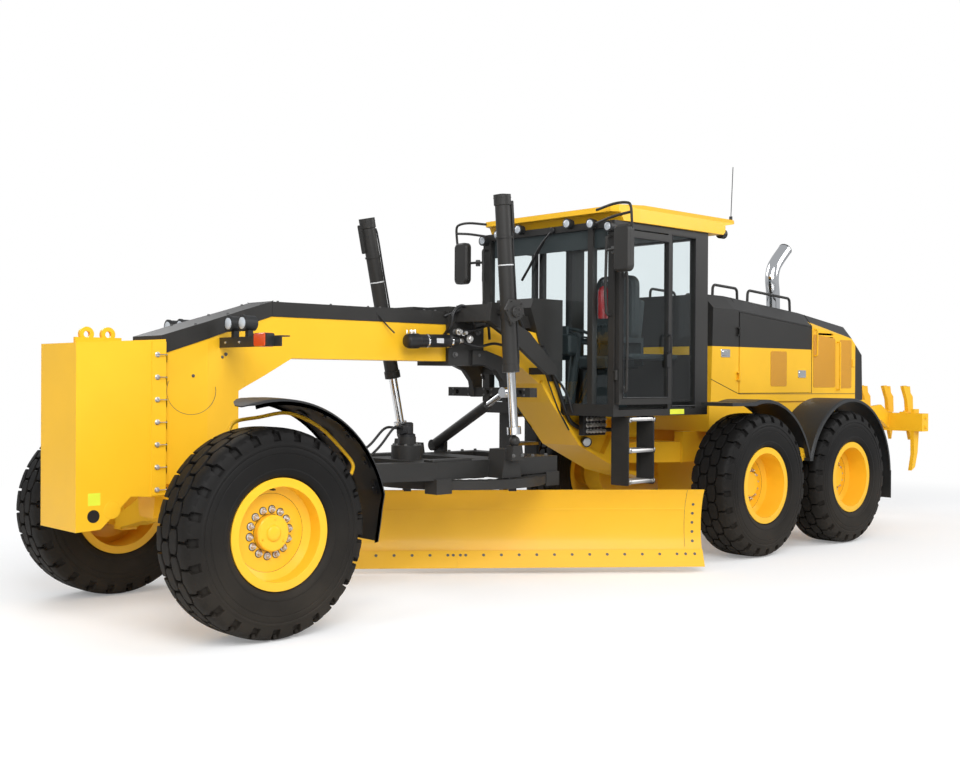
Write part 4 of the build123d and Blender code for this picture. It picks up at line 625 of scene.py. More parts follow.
# each lens's station, direction and profile
LENSES = (
    ((-0.178, 0.340, 2.035), X, BAR_LENS), ((-0.178, 0.520, 2.035), X, BAR_LENS),
    ((-3.656, 0.310, 3.055), X, ROOF_LENS), ((-3.656, 0.589, 3.030), X, ROOF_LENS),
    ((-3.656, 0.795, 2.990), X, ROOF_LENS), ((-5.495, 0.700, 3.085), -X, TAIL_LENS))
for side, way in SIDES:
    lenses = [turned(at(x, way * y, z), aim, profile, 28) for (x, y, z), aim, profile in LENSES]
    piece(f"lamp_lenses_{side}", lenses, lamp_glass, "root")
    signal = plate(at(-0.207, way * 0.790, 1.914), Y, Z, rounded(0.150, 0.094, 0.016), 0.066, 0.010)
    piece(f"turn_signal_{side}", [signal], amber, "root")
    brackets = bolts(path(way, (-0.235, 0.340, 1.942), (-0.235, 0.520, 1.942)), Z, 0.010)
    brackets += bolts(path(way, (-0.2, 0.270, 1.905), (-0.2, 0.450, 1.905)), X, 0.007)
    piece(f"lamp_bar_bolts_{side}", brackets, zinc, "root")

# ------------------------------------------------------------------ beam cover and accumulator
# The black cover over the hoses is made of folded lengths: a seam at the kink and others behind it,
# with hexagon bolts along both upper edges. On the left hangs the blade's accumulator.
COVER_SEAMS = (-0.655, -1.62, -2.20)
COVER_BOLTS = np.array([-0.02, -0.30, -0.58, -0.72, -1.20, -1.56, -1.68, -2.14, -2.26, -2.9, -3.2])
COVER_KINK = -0.65
COVER_TOP = 2.218
COVER_SLOPE = 0.302
WIDE_FROM = -0.1
for side, way in SIDES:
    reaches = np.where(COVER_BOLTS > WIDE_FROM, 0.170, 0.135)
    tops = COVER_TOP - np.maximum(0.0, COVER_BOLTS - COVER_KINK) * COVER_SLOPE
    pins = bolts(path(way, *zip(COVER_BOLTS, reaches, tops)), Z, 0.009)
    piece(f"cover_bolts_{side}", pins, cast_metal, "root")
    seams = [tube(path(way, (x, 0.1665, 2.112), (x, 0.1665, 2.219), (x, 0.160, 2.2215), (x, 0.0, 2.2215)),
                  0.0022, 6, 2) for x in COVER_SEAMS]
    piece(f"cover_seams_{side}", seams, hose_black, "root")

BOTTLE_FRONT = at(-1.825, 0.28, 1.958)
BOTTLE_WAY = unit(at(-2.40, 0.28, 1.974) - BOTTLE_FRONT)
BOTTLE = [(0, 0), (0, 0.030), (0.012, 0.052), (0.030, 0.060), (0.120, 0.062), (0.128, 0.055), (0.150, 0.0535),
          (0.470, 0.0535), (0.490, 0.046), (0.505, 0.030), (0.560, 0.028), (0.565, 0.0)]
BAND = np.array([(0, 0.053), (0, 0.058), (0.016, 0.058), (0.016, 0.053)])
bottle = turned(BOTTLE_FRONT, BOTTLE_WAY, BOTTLE, 32)
piece("accumulator", [bottle], hose_black, "root", crease=30)
bands = [turned(BOTTLE_FRONT, BOTTLE_WAY, BAND + (reach, 0), 32) for reach in (0.200, 0.452)]
piece("accumulator_bands", bands, bright_chrome, "root")
label = plate(BOTTLE_FRONT + BOTTLE_WAY * 0.32 + Y * 0.0515, -X, Z, rounded(0.075, 0.040), 0.004, 0.001)
piece("accumulator_label", [label], label_white, "root")
fittings = []
for number in range(5):
    port = BOTTLE_WAY * (0.045 + 0.02 * (number % 3)) + Z * 0.058 + Y * (0.02 * (number - 2))
    fittings += bolt(BOTTLE_FRONT + port, Z, 0.008, 0.03)
fittings += bolt(BOTTLE_FRONT + BOTTLE_WAY * 0.565, BOTTLE_WAY, 0.020, 0.05)
fittings += bolt(at(-2.40, 0.27, 2.05), Y, 0.022, 0.035)
fittings += bolt(at(-2.46, 0.26, 2.04), Y, 0.018, 0.045)
fittings += bolt(at(-2.52, 0.27, 1.993), Y, 0.026, 0.03)
for reach in (0.21, 0.46):
    bracket = BOTTLE_FRONT + BOTTLE_WAY * reach - Y * 0.125
    fittings.append(plate(bracket, X, Z, rounded(0.045, 0.09, 0.01), -0.075, -0.002))
piece("accumulator_fittings", fittings, zinc, "root", crease=25)

# ------------------------------------------------------------------ saddle and its hoses
# Thick hoses loop from under the cover to the saddle's valves, and a thin one leaves the cover on
# the left alone. Hexagon bolts hold the saddle's caps together.
SADDLE_HOSES = (
    (((-2.30, 0.18, 2.00), (-2.305, 0.28, 2.10), (-2.318, 0.30, 2.20), (-2.40, 0.30, 2.262),
      (-2.50, 0.30, 2.225), (-2.545, 0.29, 2.13), (-2.60, 0.24, 2.05)), 0.014),
    (((-2.33, 0.17, 2.18), (-2.46, 0.26, 2.235), (-2.60, 0.29, 2.20), (-2.72, 0.28, 2.12),
      (-2.80, 0.22, 2.00)), 0.012),
    (((-2.40, 0.26, 2.05), (-2.55, 0.31, 2.07), (-2.70, 0.30, 2.11), (-2.86, 0.27, 2.12),
      (-3.02, 0.22, 2.02)), 0.012),
    (((-2.42, 0.26, 1.97), (-2.60, 0.29, 1.93), (-2.80, 0.28, 1.96), (-3.05, 0.235, 1.93)), 0.012),
    (((-2.76, 0.20, 2.24), (-2.95, 0.24, 2.30), (-3.12, 0.22, 2.22), (-3.24, 0.20, 2.08)), 0.016))
PILOT_HOSE = (((-1.64, 0.168, 2.16), (-1.70, 0.185, 2.09), (-1.76, 0.22, 2.02)), 0.006)
CAP_STUDS = ((-2.42, 0.2, 1.86), (-2.42, 0.2, 2.05), (-2.68, 0.2, 1.86), (-2.68, 0.2, 2.05),
             (-2.50, 0.2, 2.20), (-2.62, 0.2, 2.20))
for side, way in SIDES:
    routes = SADDLE_HOSES + (PILOT_HOSE,) if side == "left" else SADDLE_HOSES
    hoses = [tube(path(way, *stations), radius, 10, 5) for stations, radius in routes]
    piece(f"saddle_hoses_{side}", hoses, hose_black, "root", crease=60)
    studs = bolts(path(way, *CAP_STUDS), Y * way, 0.018, 0.026)
    studs += bolts(path(way, *((-2.99, y, z) for y in (0.05, 0.25, 0.45) for z in (1.520, 1.570))), X, 0.008)
    piece(f"saddle_studs_{side}", studs, cast_metal, "root", crease=25)

# ------------------------------------------------------------------ lift cylinders
# Square caps close the barrels' tops; a white band, a hose guard and two dark pipes lie on each
# barrel, and a five-cornered cheek with a round boss holds its trunnion.
BARREL_TOPS = {1: at(-2.455, 0.72, 3.135), -1: at(-2.2, -0.72, 3.055)}
TRUNNION_HEIGHT = 2.20
BARREL_LENGTH = 1.42
COLLAR = [(0, 0.0645), (0, 0.070), (0.075, 0.070), (0.079, 0.0645)]
WHITE_BAND = [(0, 0.0625), (0, 0.0645), (0.010, 0.0645), (0.010, 0.0625)]
BOSS = [(0.018, 0.046), (0.036, 0.046), (0.042, 0.038), (0.042, 0.0)]
ROD_SEAL = [(-0.002, 0.070), (0.003, 0.070), (0.006, 0.058), (0.007, 0.044)]
CHEEK = np.array([(-0.105, 0.035), (-0.085, -0.08), (0.05, -0.105), (0.11, -0.02), (0.05, 0.105)])


def barrel_line(way):
    """Top of the barrel and the unit direction down it."""
    top = BARREL_TOPS[way]
    return top, unit(at(-2.61, way * 0.72, 1.175) - top)


for side, way in SIDES:
    top, down = barrel_line(way)
    out = Y * way
    fore = np.cross(down, out)
    body = f"lift_barrel_{side}"
    cap = [plate(top - down * 0.006, fore, out, rounded(0.112, 0.112, 0.020), -0.030, -0.004),
           turned(top + down * 0.004, down, COLLAR, 32),
           plate(top + down * 0.17 - fore * 0.058 + out * 0.02, down, out, rounded(0.24, 0.05, 0.01),
                 -0.022, -0.006)]
    piece(f"barrel_cap_{side}", cap, black_paint, body)
    piece(f"barrel_band_{side}", [turned(top + down * 0.555, down, WHITE_BAND, 40)], label_white, body)
    pipes = []
    for shift, length in ((0.030, 1.34), (-0.030, 0.86)):
        start = top - fore * 0.066 * way + out * shift
        inward = fore * 0.03 * way
        pipes.append(tube([start + down * 0.10 + inward, start + down * 0.13, start + down * 0.5,
                           start + down * (length - 0.03), start + down * length + inward], 0.008, 8, 3))
    piece(f"barrel_pipes_{side}", pipes, hose_black, body, crease=60)
    trunnion = top + down * ((top[2] - TRUNNION_HEIGHT) / -down[2]) + out * 0.066
    boss = [plate(trunnion, fore * way, down, CHEEK, 0.022, 0.006), turned(trunnion, out, BOSS, 32)]
    boss += bolts(circle_of(trunnion + out * 0.042, out, 0.026, 5), out, 0.005)
    boss += bolts([trunnion + (fore * way * u + down * v) * 0.8 + out * 0.021 for u, v in CHEEK], out, 0.008)
    piece(f"trunnion_cheek_{side}", boss, black_paint, body)
    piece(f"rod_seal_{side}", [turned(top + down * BARREL_LENGTH, down, ROD_SEAL, 32)], cast_metal, body)

# ------------------------------------------------------------------ drawbar and circle
# Wear strips and bolts lie along the drawbar's rails, a ring of bolts holds the circle drive, and
# its motor stands on top with two hoses.
RAIL_BOLTS = (-3.26, -3.10, -2.94, -2.24, -2.08)
DRIVE = at(-2.075, 0, 1.110)
MOTOR = [(0, 0.070), (0.02, 0.070), (0.03, 0.052), (0.11, 0.052), (0.12, 0.04), (0.12, 0)]
MOTOR_HOSES = (
    ((-2.00, 0.03, 1.25), (-1.90, 0.05, 1.26), (-1.75, 0.06, 1.12), (-1.6, 0.10, 1.03)),
    ((-2.00, -0.03, 1.25), (-1.88, -0.05, 1.25), (-1.72, -0.06, 1.11), (-1.55, -0.1, 1.03)))
studs = bolts(circle_of(DRIVE, Z, 0.108, 8), Z, 0.011)
for _, way in SIDES:
    studs += bolts(path(way, *((x, 0.45, 1.0) for x in RAIL_BOLTS)), Z, 0.014)
    studs += bolts(path(way, (-2.56, 0.76, 1.04), (-2.66, 0.76, 1.04)), Y * way, 0.012)
piece("drawbar_bolts", studs, cast_metal, "drawbar", crease=25)
motor = [turned(DRIVE + Z * 0.069, Z, MOTOR, 32),
         plate(at(-2.075, 0.0, 1.24), Y, Z, rounded(0.09, 0.07, 0.01), 0.075)]
motor += [tube(path(1, *stations), 0.011) for stations in MOTOR_HOSES]
piece("circle_motor", motor, hose_black, "drawbar", crease=40)
strips = [plate(at(-2.13, way * 0.45, 1.0), X, Y, rounded(0.42, 0.115, 0.01), 0.018) for _, way in SIDES]
piece("wear_strips", strips, black_paint, "drawbar")

# ------------------------------------------------------------------ blade
# Plough bolts hold the cutting edges every 152 mm, in pairs at their ends; five more in a column
# hold each end bit, which a fine upright line sets off from the moldboard.
ANGLE = math.radians(38.7)
FORWARD = np.array([math.sin(ANGLE), math.cos(ANGLE), 0.0])
ALONG = np.array([math.cos(ANGLE), -math.sin(ANGLE), 0.0])
BLADE = at(-2.63, 0, 0) + 0.110 * FORWARD
EDGE_FOOT, EDGE_TOP, FACE_TOP = 0.075, 0.190, 0.715
EDGE_PITCH = 0.1524
END_PAIRS = {0.03, 1.98, 2.06}
PLOUGH_HEAD = [(-0.001, 0.0135), (0.0012, 0.0125), (0.0012, 0.008), (0.0005, 0.0)]
BIT_HEAD = [(-0.001, 0.0135), (0.0014, 0.0125), (0.0014, 0.008), (0.0006, 0.0)]
BIT_BOLTS = (0.26, 0.34, 0.42, 0.50, 0.58)


def on_blade(u, v, z):
    """A point by its reach along the blade, forward of the edge line and height."""
    return BLADE + ALONG * u + FORWARD * v + Z * z


def moldboard_face(z):
    """Forward reach of the curved face at height z: the circle through its foot, deepest point and top."""
    (ay, az), (by, bz), (cy, cz) = (-0.008, EDGE_FOOT), (-0.120, 0.385), (0.0, FACE_TOP)
    d = 2 * (ay * (bz - cz) + by * (cz - az) + cy * (az - bz))
    a2, b2, c2 = ay**2 + az**2, by**2 + bz**2, cy**2 + cz**2
    mid_y = (a2 * (bz - cz) + b2 * (cz - az) + c2 * (az - bz)) / d
    mid_z = (a2 * (cy - by) + b2 * (ay - cy) + c2 * (by - ay)) / d
    return mid_y - math.sqrt((ay - mid_y)**2 + (az - mid_z)**2 - (z - mid_z)**2)


edge_foot = moldboard_face(EDGE_FOOT)
rise = unit([0, moldboard_face(EDGE_TOP) - edge_foot, EDGE_TOP - EDGE_FOOT])
edge_up = FORWARD * rise[1] + Z * rise[2]
edge_out = FORWARD * rise[2] - Z * rise[1]
reaches = END_PAIRS | {round(EDGE_PITCH * (number + 0.5), 4) for number in range(13)}
heads = [turned(on_blade(end * reach, edge_foot, EDGE_FOOT) + edge_up * 0.085 + edge_out * 0.0193,
                edge_out, PLOUGH_HEAD, 16) for _, end in SIDES for reach in sorted(reaches)]
for _, end in SIDES:
    for z in BIT_BOLTS:
        slope = (moldboard_face(z + 0.01) - moldboard_face(z - 0.01)) / 0.02
        place = on_blade(end * 2.055, moldboard_face(z), z)
        heads.append(turned(place, unit(FORWARD - Z * slope), BIT_HEAD, 16))
    line = [on_blade(end * 1.985, moldboard_face(z) + 0.0006, z) for z in np.linspace(0.21, 0.712, 12)]
    heads.append(tube(line, 0.0016, 6, 2))
piece("plough_bolts", heads, cast_metal, "moldboard", crease=25)

# ------------------------------------------------------------------ mirrors
# Each housing hangs from two bent tubes at the roof's corner and carries a rounded glass; a short
# knob joins it to its lower arm.
KNOB = [(-0.03, 0), (-0.03, 0.022), (0.03, 0.022), (0.03, 0)]
HANGER = (
    ((-3.62, 0.70, 3.135), (-3.60, 0.91, 3.165), (-3.60, 1.05, 3.163), (-3.60, 1.10, 3.13),
     (-3.61, 1.105, 3.02), (-3.62, 1.10, 2.93)),
    ((-3.62, 0.70, 3.02), (-3.60, 0.91, 3.058), (-3.605, 1.10, 3.08)))
for side, way in SIDES:
    glass = plate(at(-3.6352, way * 1.02, 2.78), -Y, Z, rounded(0.160, 0.370, 0.040), 0.004, 0.002)
    piece(f"mirror_glass_{side}", [glass], bright_chrome, "root")
    hanger = [tube(path(way, *stations), 0.012, 10, 5) for stations in HANGER]
    piece(f"mirror_hanger_{side}", hanger, black_paint, "root", crease=60)
    piece(f"mirror_joint_{side}", [turned(at(-3.665, way * 0.86, 2.78), -Z, KNOB, 16)], cast_metal, "root")

# ------------------------------------------------------------------ cab doors and panes
# A pull handle over its lock and a long grab rail stand on each door, and black rubber lies round
# the panes of the door and of the quarter behind it.
DOOR_PANE = (-4.42, -3.79, 1.50, 2.91, 0.8655)
QUARTER_PANE = (-4.88, -4.53, 1.42, 2.985, 0.8205)


def pane_seal(way, x0, x1, z0, z1, y):
    """Four straight rubber beads round a pane, from its ends along the machine, its foot and top, and
    its reach to the side."""
    corners = path(way, (x0, y, z0), (x1, y, z0), (x1, y, z1), (x0, y, z1))
    return [tube(ends, 0.006, 6, 2) for ends in zip(corners, corners[1:] + corners[:1])]


for side, way in SIDES:
    door = f"cab_door_{side}"
    handle = [tube(path(way, (-4.41, 0.864, 2.06), (-4.41, 0.905, 2.05), (-4.41, 0.905, 1.92),
                        (-4.41, 0.864, 1.91)), 0.010, 8, 5),
              plate(at(-4.42, way * 0.8652, 1.83), X * -way, Z, rounded(0.05, 0.12, 0.012), 0.012, 0.004)]
    piece(f"door_handle_{side}", handle, hose_black, door)
    rail = tube(path(way, (-3.80, 0.864, 2.55), (-3.80, 0.900, 2.53), (-3.80, 0.900, 1.62),
                     (-3.80, 0.864, 1.60)), 0.012, 10, 5)
    piece(f"door_rail_{side}", [rail], black_paint, door)
    piece(f"door_seal_{side}", pane_seal(way, *DOOR_PANE), hose_black, door)
    piece(f"quarter_seal_{side}", pane_seal(way, *QUARTER_PANE), hose_black, "root")

# ------------------------------------------------------------------ ladder
# Three zinc-plated treads with punched grips hang between black cheeks on dome-headed bolts, under
# a plain lime label on the cab's sill.
TREAD_HEIGHTS = (0.735, 1.010, 1.290)
GRIP = [(0, 0.009), (0.004, 0.007), (0.004, 0.004), (0.0, 0.003)]
DOME_HEAD = [(-0.001, 0.022), (0.006, 0.020), (0.011, 0.010), (0.012, 0)]
for side, way in SIDES:
    treads = []
    for high in TREAD_HEIGHTS:
        step = at(-4.125, way * 0.717, high + 0.002)
        treads.append(plate(step, X, Y, rounded(0.30, 0.196, 0.006), 0.029, 0.003))
        treads += [turned(at(-4.245 + 0.03 * number, way * y, high + 0.030), Z, GRIP, 8)
                   for number in range(9) for y in (0.645, 0.69, 0.735, 0.78)]
    piece(f"ladder_treads_{side}", treads, zinc, "root")
    cheeks = [plate(at(x, way * 0.720, 1.026), Y, Z, rounded(0.200, 0.612, 0.012), 0.010)
              for x in (-3.935, -4.286)]
    piece(f"ladder_cheeks_{side}", cheeks, black_paint, "root")
    domes = [turned(at(x, way * 0.810, z), Y * way, DOME_HEAD, 16)
             for x in (-3.96, -4.29) for z in (0.75, 1.03, 1.30)]
    piece(f"ladder_bolts_{side}", domes, bare_steel, "root")
    label = plate(at(-4.615, way * 0.8203, 1.368), X * -way, Z, rounded(0.21, 0.047), 0.001, 0.0004)
    piece(f"sill_label_{side}", [label], label_lime, "root")

# ------------------------------------------------------------------ inside the cab
# The wiper sweeps from the windscreen's top under a dark band, a headliner closes the roof, a fire
# extinguisher stands in the left front corner, and levers rise from the seat's two arm consoles.
arm = [tube(path(1, (-3.705, 0.086, 3.016), (-3.700, -0.058, 2.887), (-3.705, -0.20, 2.71)), 0.009, 8, 4),
       tube(path(1, (-3.712, -0.02, 2.93), (-3.712, -0.305, 2.584)), 0.012, 6, 2),
       turned(at(-3.719, 0.09, 3.02), X, [(0, 0.03), (0.02, 0.028), (0.026, 0.02), (0.026, 0)], 20)]
piece("wiper", arm, hose_black, "root")
lining = [plate(at(-3.748, 0.0, 2.905), Y, Z, rounded(1.42, 0.17, 0.01), 0.003, 0.001),
          plate(at(-4.32, 0.0, 2.985), X, Y, rounded(1.08, 1.56, 0.04), 0.008)]
piece("headliner", lining, trim, "root")

EXTINGUISHER = at(-3.84, 0.60, 2.20)
BOTTLE_SHELL = [(0, 0), (0, 0.050), (0.01, 0.056), (0.24, 0.056), (0.27, 0.045), (0.29, 0.020), (0.30, 0.0)]
piece("extinguisher", [turned(EXTINGUISHER, Z, BOTTLE_SHELL, 28)], red, "root")
neck = [turned(EXTINGUISHER + Z * 0.29, Z, [(0, 0.022), (0.03, 0.022), (0.035, 0)], 16),
        plate(EXTINGUISHER + Z * 0.33, X, Y, rounded(0.09, 0.03, 0.008), 0.02),
        tube(path(1, (-3.84, 0.63, 2.51), (-3.83, 0.665, 2.44), (-3.84, 0.662, 2.28)), 0.008)]
piece("extinguisher_neck", neck, hose_black, "root")

LEVER_KNOB = [(0, 0.008), (0.01, 0.016), (0.03, 0.014), (0.035, 0)]
console = [plate(at(-3.98, 0.0, 1.98), Y, Z, rounded(0.30, 0.20, 0.04), 0.10, 0.02),
           plate(at(-4.76, 0.0, 2.34), Y, Z, rounded(0.50, 0.66, 0.10), 0.09, 0.03),
           plate(at(-3.94, -0.02, 2.09), Y, Z, rounded(0.22, 0.13, 0.02), 0.03, 0.01)]
for _, way in SIDES:
    console.append(plate(at(-4.62, way * 0.43, 1.90), Y, X, rounded(0.26, 0.72, 0.04), 0.05, 0.02))
    for number in range(5):
        lever = at(-4.20 + 0.045 * (number % 3), way * (0.30 + 0.05 * (number // 3)), 2.06)
        console.append(tube([lever, lever + X * 0.01 + Z * 0.09], 0.006, 8, 2))
        console.append(turned(lever + X * 0.01 + Z * 0.08, Z, LEVER_KNOB, 12))
piece("cab_console", console, trim, "root")

# ------------------------------------------------------------------ under the cab
# Test ports in rows and a round work lamp sit on the left of the leg, and hoses run past them from
# the tower down to the hitch on both sides.
ports = bolts([at(-3.90 - 0.045 * column, 0.36, 1.30 - 0.055 * line)
               for line in range(3) for column in range(5)], Y, 0.016, 0.06)
piece("test_ports", ports, zinc, "root", crease=25)
piece("port_block", [plate(at(-4.0, 0.30, 1.245), -X, Z, rounded(0.30, 0.19, 0.01), 0.06)],
      hose_black, "root")

BELLY_LAMP = at(-3.985, 0.275, 1.085)
BELLY_AIM = unit([0.45, 0.85, -0.15])
BELLY_SHELL = [(0, 0), (0, 0.025), (0.02, 0.041), (0.075, 0.046), (0.082, 0.046), (0.082, 0.040)]
BELLY_LENS = [(0.0, 0.041), (0.008, 0.036), (0.014, 0.016), (0.015, 0)]
piece("belly_lamp", [turned(BELLY_LAMP - BELLY_AIM * 0.07, BELLY_AIM, BELLY_SHELL, 28)], hose_black, "root")
piece("belly_lamp_lens", [turned(BELLY_LAMP, BELLY_AIM, BELLY_LENS, 28)], lamp_glass, "root")

LEG_HOSES = (
    (((-3.42, 0.245, 1.95), (-3.60, 0.25, 1.62), (-3.70, 0.25, 1.42), (-3.80, 0.25, 1.27), (-4.0, 0.25, 1.20),
      (-4.35, 0.25, 1.19)), 0.020),
    (((-3.40, 0.24, 1.85), (-3.52, 0.245, 1.60), (-3.64, 0.245, 1.38), (-3.78, 0.24, 1.20),
      (-3.70, 0.235, 1.32)), 0.007),
    (((-3.46, 0.24, 1.80), (-3.66, 0.30, 1.56), (-3.72, 0.34, 1.36)), 0.012))
for side, way in SIDES:
    runs = [tube(path(way, *stations), radius) for stations, radius in LEG_HOSES]
    piece(f"leg_hoses_{side}", runs, hose_black, "root", crease=60)

# ------------------------------------------------------------------ hood fittings
# The hood's mesh screens are darker, pierced sheet; chrome paddle latches sit on the hood and on its
# side doors, and dark lines mark the panel joints.
HOLE_PITCH = 0.014
HOLE_LEVEL = 0.25
SHEET = (0.82, 0.38, 0.016, 1)
HOLE = (0.22, 0.09, 0.008, 1)
COOLER_DROP = 0.035
JOINTS = (
    ((-5.463, 0.581, 1.669), (-5.935, 0.581, 1.521)), ((-5.935, 0.581, 1.521), (-8.36, 0.581, 1.512)),
    ((-5.93, 0.5812, 2.352), (-5.985, 0.4425, 2.503)), ((-7.29, 0.5812, 1.52), (-7.29, 0.5812, 2.25)),
    ((-7.29, 0.5812, 2.25), (-7.36, 0.4425, 2.381)))
# name, ends along the machine, foot, top, and whether it lies on the side door
SCREENS = (("cooler_front", -7.325, -7.775, 1.585, 2.165, False),
           ("cooler_back", -7.868, -8.125, 1.575, 2.118, False),
           ("door_vent", -6.493, -6.795, 1.598, 1.966, True))
# name, station along the machine, height, and whether it lies on the side door
LATCHES = (("front", -5.70, 1.928, False), ("back", -7.088, 1.730, True))


def pierced(tree):
    """Yellow sheet with a small dark hole wherever the product of two 14 mm sine waves is high."""
    parts = place_parts(tree)
    waves = [sum_of(tree, "SINE", sum_of(tree, "MULTIPLY", parts[axis], 2 * math.pi / HOLE_PITCH))
             for axis in ("X", "Z")]
    hole = sum_of(tree, "GREATER_THAN", sum_of(tree, "MULTIPLY", *waves), HOLE_LEVEL)
    mixed = node(tree, "ShaderNodeMix", {"data_type": "RGBA"}, _0=hole, _6=SHEET, _7=HOLE)
    return mixed.outputs[2]


def sheet_under(side, on_door):
    """How far out the sheet under a fitting lies, and the body it belongs to."""
    return (0.5855, f"side_door_{side}") if on_door else (0.5805, "rear_frame")


screen = skin("screen", pierced, gloss=0.42, edge=0.0)
for side, way in SIDES:
    for name, front, back, low, high, on_door in SCREENS:
        reach, body = sheet_under(side, on_door)
        outline = rounded(front - back, high - low, 0.022)
        if name == "cooler_front":
            u, v = outline.T
            outline[:, 1] -= COOLER_DROP * (0.5 + u * way / (front - back)) * (v > 0)
        centre = at((front + back) / 2, way * reach, (low + high) / 2)
        mesh = plate(centre, X * -way, Z, outline, 0.003, 0.0015)
        piece(f"{name}_{side}", [mesh], screen, body)
    for name, x, z, on_door in LATCHES:
        reach, body = sheet_under(side, on_door)
        spot = at(x, way * reach, z)
        paddle = [plate(spot, X * -way, Z, rounded(0.150, 0.082, 0.012), 0.006, 0.003),
                  plate(spot + Y * way * 0.005, X * -way, Z, rounded(0.110, 0.050, 0.010), 0.008, 0.004)]
        piece(f"latch_{name}_{side}", paddle, bright_chrome, body)
    piece(f"hood_joints_{side}", [tube(path(way, *ends), 0.003, 6, 2) for ends in JOINTS], hose_black,
          "rear_frame")
    latch = plate(at(-8.16, way * 0.5805, 1.86), X * -way, Z, rounded(0.05, 0.09, 0.012), 0.012, 0.004)
    piece(f"cooler_latch_{side}", [latch], yellow_paint, "rear_frame")
    tail = plate(at(-8.5605, way * 0.40, 1.34), -Y, Z, rounded(0.09, 0.13, 0.012), 0.018, 0.006)
    piece(f"tail_lamp_{side}", [tail], red, "rear_frame")

# ------------------------------------------------------------------ stack
# The chrome pipe rises from the hood and bends back to a dark mouth; a clamp holds its foot.
STACK = ((-7.2, 0.15, 2.36), (-7.198, 0.15, 2.50), (-7.190, 0.15, 2.64), (-7.172, 0.15, 2.78),
         (-7.200, 0.15, 2.90), (-7.275, 0.15, 2.99), (-7.370, 0.15, 3.075), (-7.432, 0.15, 3.130))
MOUTH = [(-0.010, 0.0742), (0.002, 0.0755), (0.003, 0.068), (0.001, 0.066), (0.001, 0)]
CLAMP = [(0, 0.092), (0.012, 0.092), (0.016, 0.086), (0.016, 0.070)]
bend = path(1, *STACK)
piece("stack_pipe", [tube(bend, 0.074, 40, 8)], bright_chrome, "rear_frame", ["exhaust"], crease=60)
piece("stack_mouth", [turned(bend[-1], unit(bend[-1] - bend[-2]), MOUTH, 40)], hose_black, "rear_frame")
clamp = [turned(at(-7.2, 0.15, 2.405), Z, CLAMP, 40)] + bolt(at(-7.2, 0.242, 2.411), Y, 0.008, 0.02)
piece("stack_clamp", clamp, zinc, "rear_frame")

# ------------------------------------------------------------------ tandems
# A yellow gusset on a round arm stands between each side's rear wheels, and rings of bolts hold the
# tandems' inspection covers.
GUSSET = np.array([(-0.11, 0.075), (0.11, 0.030), (0.10, -0.010), (-0.06, -0.062)])
for side, way in SIDES:
    out = Y * way
    gusset = [plate(at(-6.17, way * 1.200, 0.930), X * -way, Z, GUSSET * (way, 1), 0.010, 0.003),
              tube(path(way, (-6.17, 0.88, 0.86), (-6.17, 1.05, 0.90), (-6.17, 1.205, 0.925)), 0.022, 12, 4)]
    gusset += bolts(path(way, *((x, 1.210, 0.935) for x in (-6.21, -6.16, -6.11))), out, 0.010)
    piece(f"fender_gusset_{side}", gusset, yellow_paint, f"tandem_{side}")
    covers = []
    for x in (-5.39, -6.93):
        covers += bolts(circle_of(at(x, way * 0.8305, TYRE_RADIUS), out, 0.185, 12), out, 0.010)
    piece(f"tandem_bolts_{side}", covers, cast_metal, f"tandem_{side}")

# ------------------------------------------------------------------ front fenders
# Moulded shells with a rounded front corner and rims turned down; a yellow strap reaches over each
# tyre and carries its shell from below, and clips with bolts hold the two together.
FENDER_RADIUS = 0.856
FENDER_WALL = 0.007
# the rows across the shell, as (reach to the side, drop below the shell's radius)
FENDER_ROWS = ((0.828, 0.030), (0.828, 0.010), (0.842, 0.002), (0.870, 0.0), (0.96, -0.004), (1.06, -0.006),
               (1.16, -0.004), (1.25, 0.0), (1.278, 0.002), (1.290, 0.010), (1.290, 0.034))
# the stations of the straight tail, from the arc's lower end
FENDER_TAIL = np.array([(0.016, -0.09), (0.030, -0.19), (0.052, -0.315)])
STRAP = ((0.11, 0.83, 1.25), (0.105, 0.83, 1.32), (0.06, 0.835, 1.375), (-0.10, 0.86, 1.40),
         (-0.25, 0.93, 1.428), (-0.36, 1.0, 1.392), (-0.50, 1.02, 1.312), (-0.62, 1.06, 1.185),
         (-0.69, 1.10, 1.08), (-0.655, 1.13, 1.01))
POST = ((-0.226, 0.845, 0.73), (-0.20, 0.845, 0.95), (0.02, 0.838, 1.14), (0.11, 0.83, 1.25))
CLIP_RADIUS = 0.842


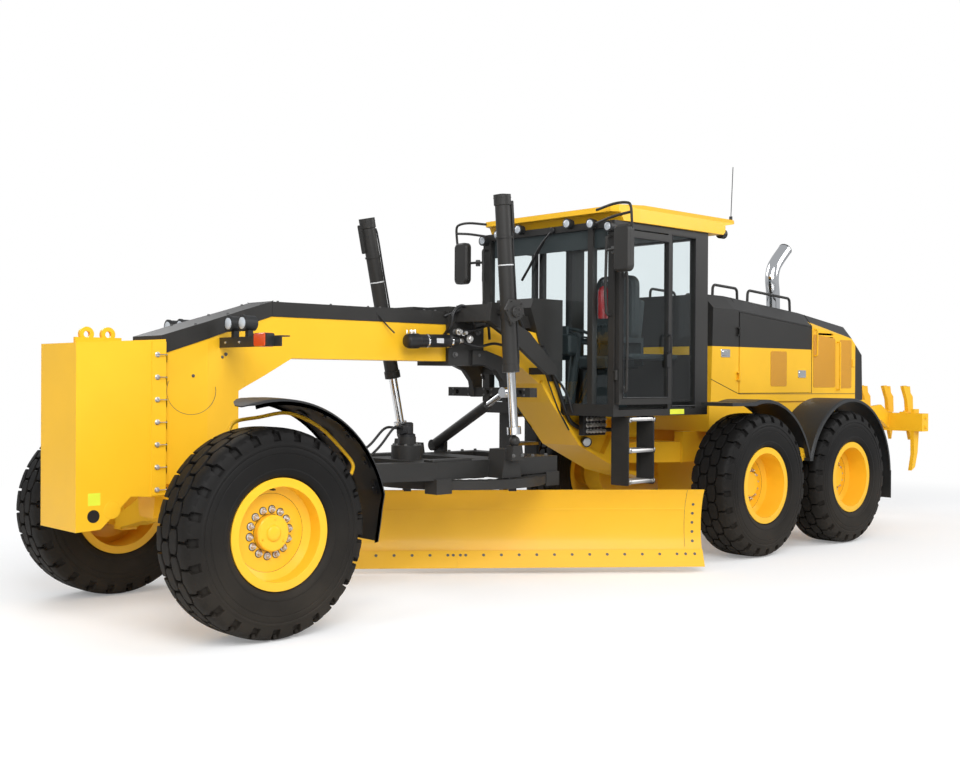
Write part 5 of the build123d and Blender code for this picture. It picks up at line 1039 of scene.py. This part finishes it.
def fender_surface(way):
    """Two parameters: reach along the shell and place across it. The shell follows an arc about the
    axle, whose front end runs back towards the inner rim, and drops straight from its lower end; the
    two outermost rows on either side are the rims. Its thickness closes the surface underneath."""
    skins = []
    for thick in (0.0, FENDER_WALL):
        rows = []
        for y, drop in FENDER_ROWS:
            corner = np.clip((1.20 - y) / 0.372, 0, 1)
            start = 71 + 19 * corner**1.5 + 5 * np.clip((y - 1.25) / 0.04, 0, 1)**2
            angle = np.radians(np.linspace(start, 166, 40))
            radius = FENDER_RADIUS - drop - thick
            arc = np.stack([radius * np.cos(angle), TYRE_RADIUS + radius * np.sin(angle)], axis=1)
            line = np.vstack([arc, arc[-1] + FENDER_TAIL + (drop * 0.2, 0)])
            rows.append(np.stack([line[:, 0], np.full(len(line), way * y), line[:, 1]], axis=1))
        skins.append(np.array(rows))
    grid = np.vstack([skins[0], skins[1][::-1]]).transpose(1, 0, 2)
    return surface(FRONT_AXLE + grid, around=True)


for side, way in SIDES:
    out = Y * way
    piece(f"fender_shell_{side}", [fender_surface(way)], black_plastic, f"knuckle_{side}",
          [f"fender_front_{side}"], crease=38)
    straps = [tube(path(way, *STRAP), 0.0125, 10, 5), tube(path(way, *POST), 0.0125, 10, 5),
              plate(at(-0.226, way * 0.850, 0.735), X, Z * -way, rounded(0.075, 0.10, 0.012), 0.016, 0.004)]
    piece(f"fender_strap_{side}", straps, yellow_paint, f"knuckle_{side}", crease=60)
    clips = []
    for angle in np.radians((118, 134, 150, 163)):
        inward = -(X * math.cos(angle) + Z * math.sin(angle))
        for y in (0.93, 1.19):
            spot = at(0, way * y, TYRE_RADIUS) - inward * CLIP_RADIUS
            clips += bolt(spot, inward, 0.012, 0.020)
            clips.append(plate(spot, out, np.cross(inward, out), rounded(0.05, 0.10, 0.01), 0.006))
    piece(f"fender_clips_{side}", clips, hose_black, f"knuckle_{side}")

# ------------------------------------------------------------------ ripper fittings
# Six bent shanks stand on the beam, each by a bolted pad; a round cap with a bolt closes the hinge
# on either side, and two bolts each beam end.
SHANK = [(-9.070, 1.600), (-9.140, 1.606), (-9.300, 1.473), (-9.312, 1.286), (-9.187, 1.286), (-9.160, 1.435)]
HINGE_CAP = [(0, 0.055), (0.012, 0.055), (0.016, 0.045), (0.016, 0)]
caps = []
for y in (-0.7, -0.45, -0.15, 0.15, 0.45, 0.7):
    caps.append(plate(at(0, y + 0.022, 0), X, Z, SHANK, 0.044, 0.005))
    caps.append(plate(at(-9.155, y, 1.2805), X, Y, rounded(0.13, 0.085, 0.01), 0.016, 0.004))
    caps += bolt(at(-9.13, y, 1.2955), Z, 0.012)
for _, way in SIDES:
    caps.append(turned(at(-8.69, way * 0.53, 1.30), Y * way, HINGE_CAP, 28))
    caps += bolts(path(way, (-8.69, 0.545, 1.30), (-9.15, 0.951, 1.12), (-9.15, 0.951, 1.23)), Y * way, 0.016)
piece("ripper_caps", caps, yellow_paint, "ripper")
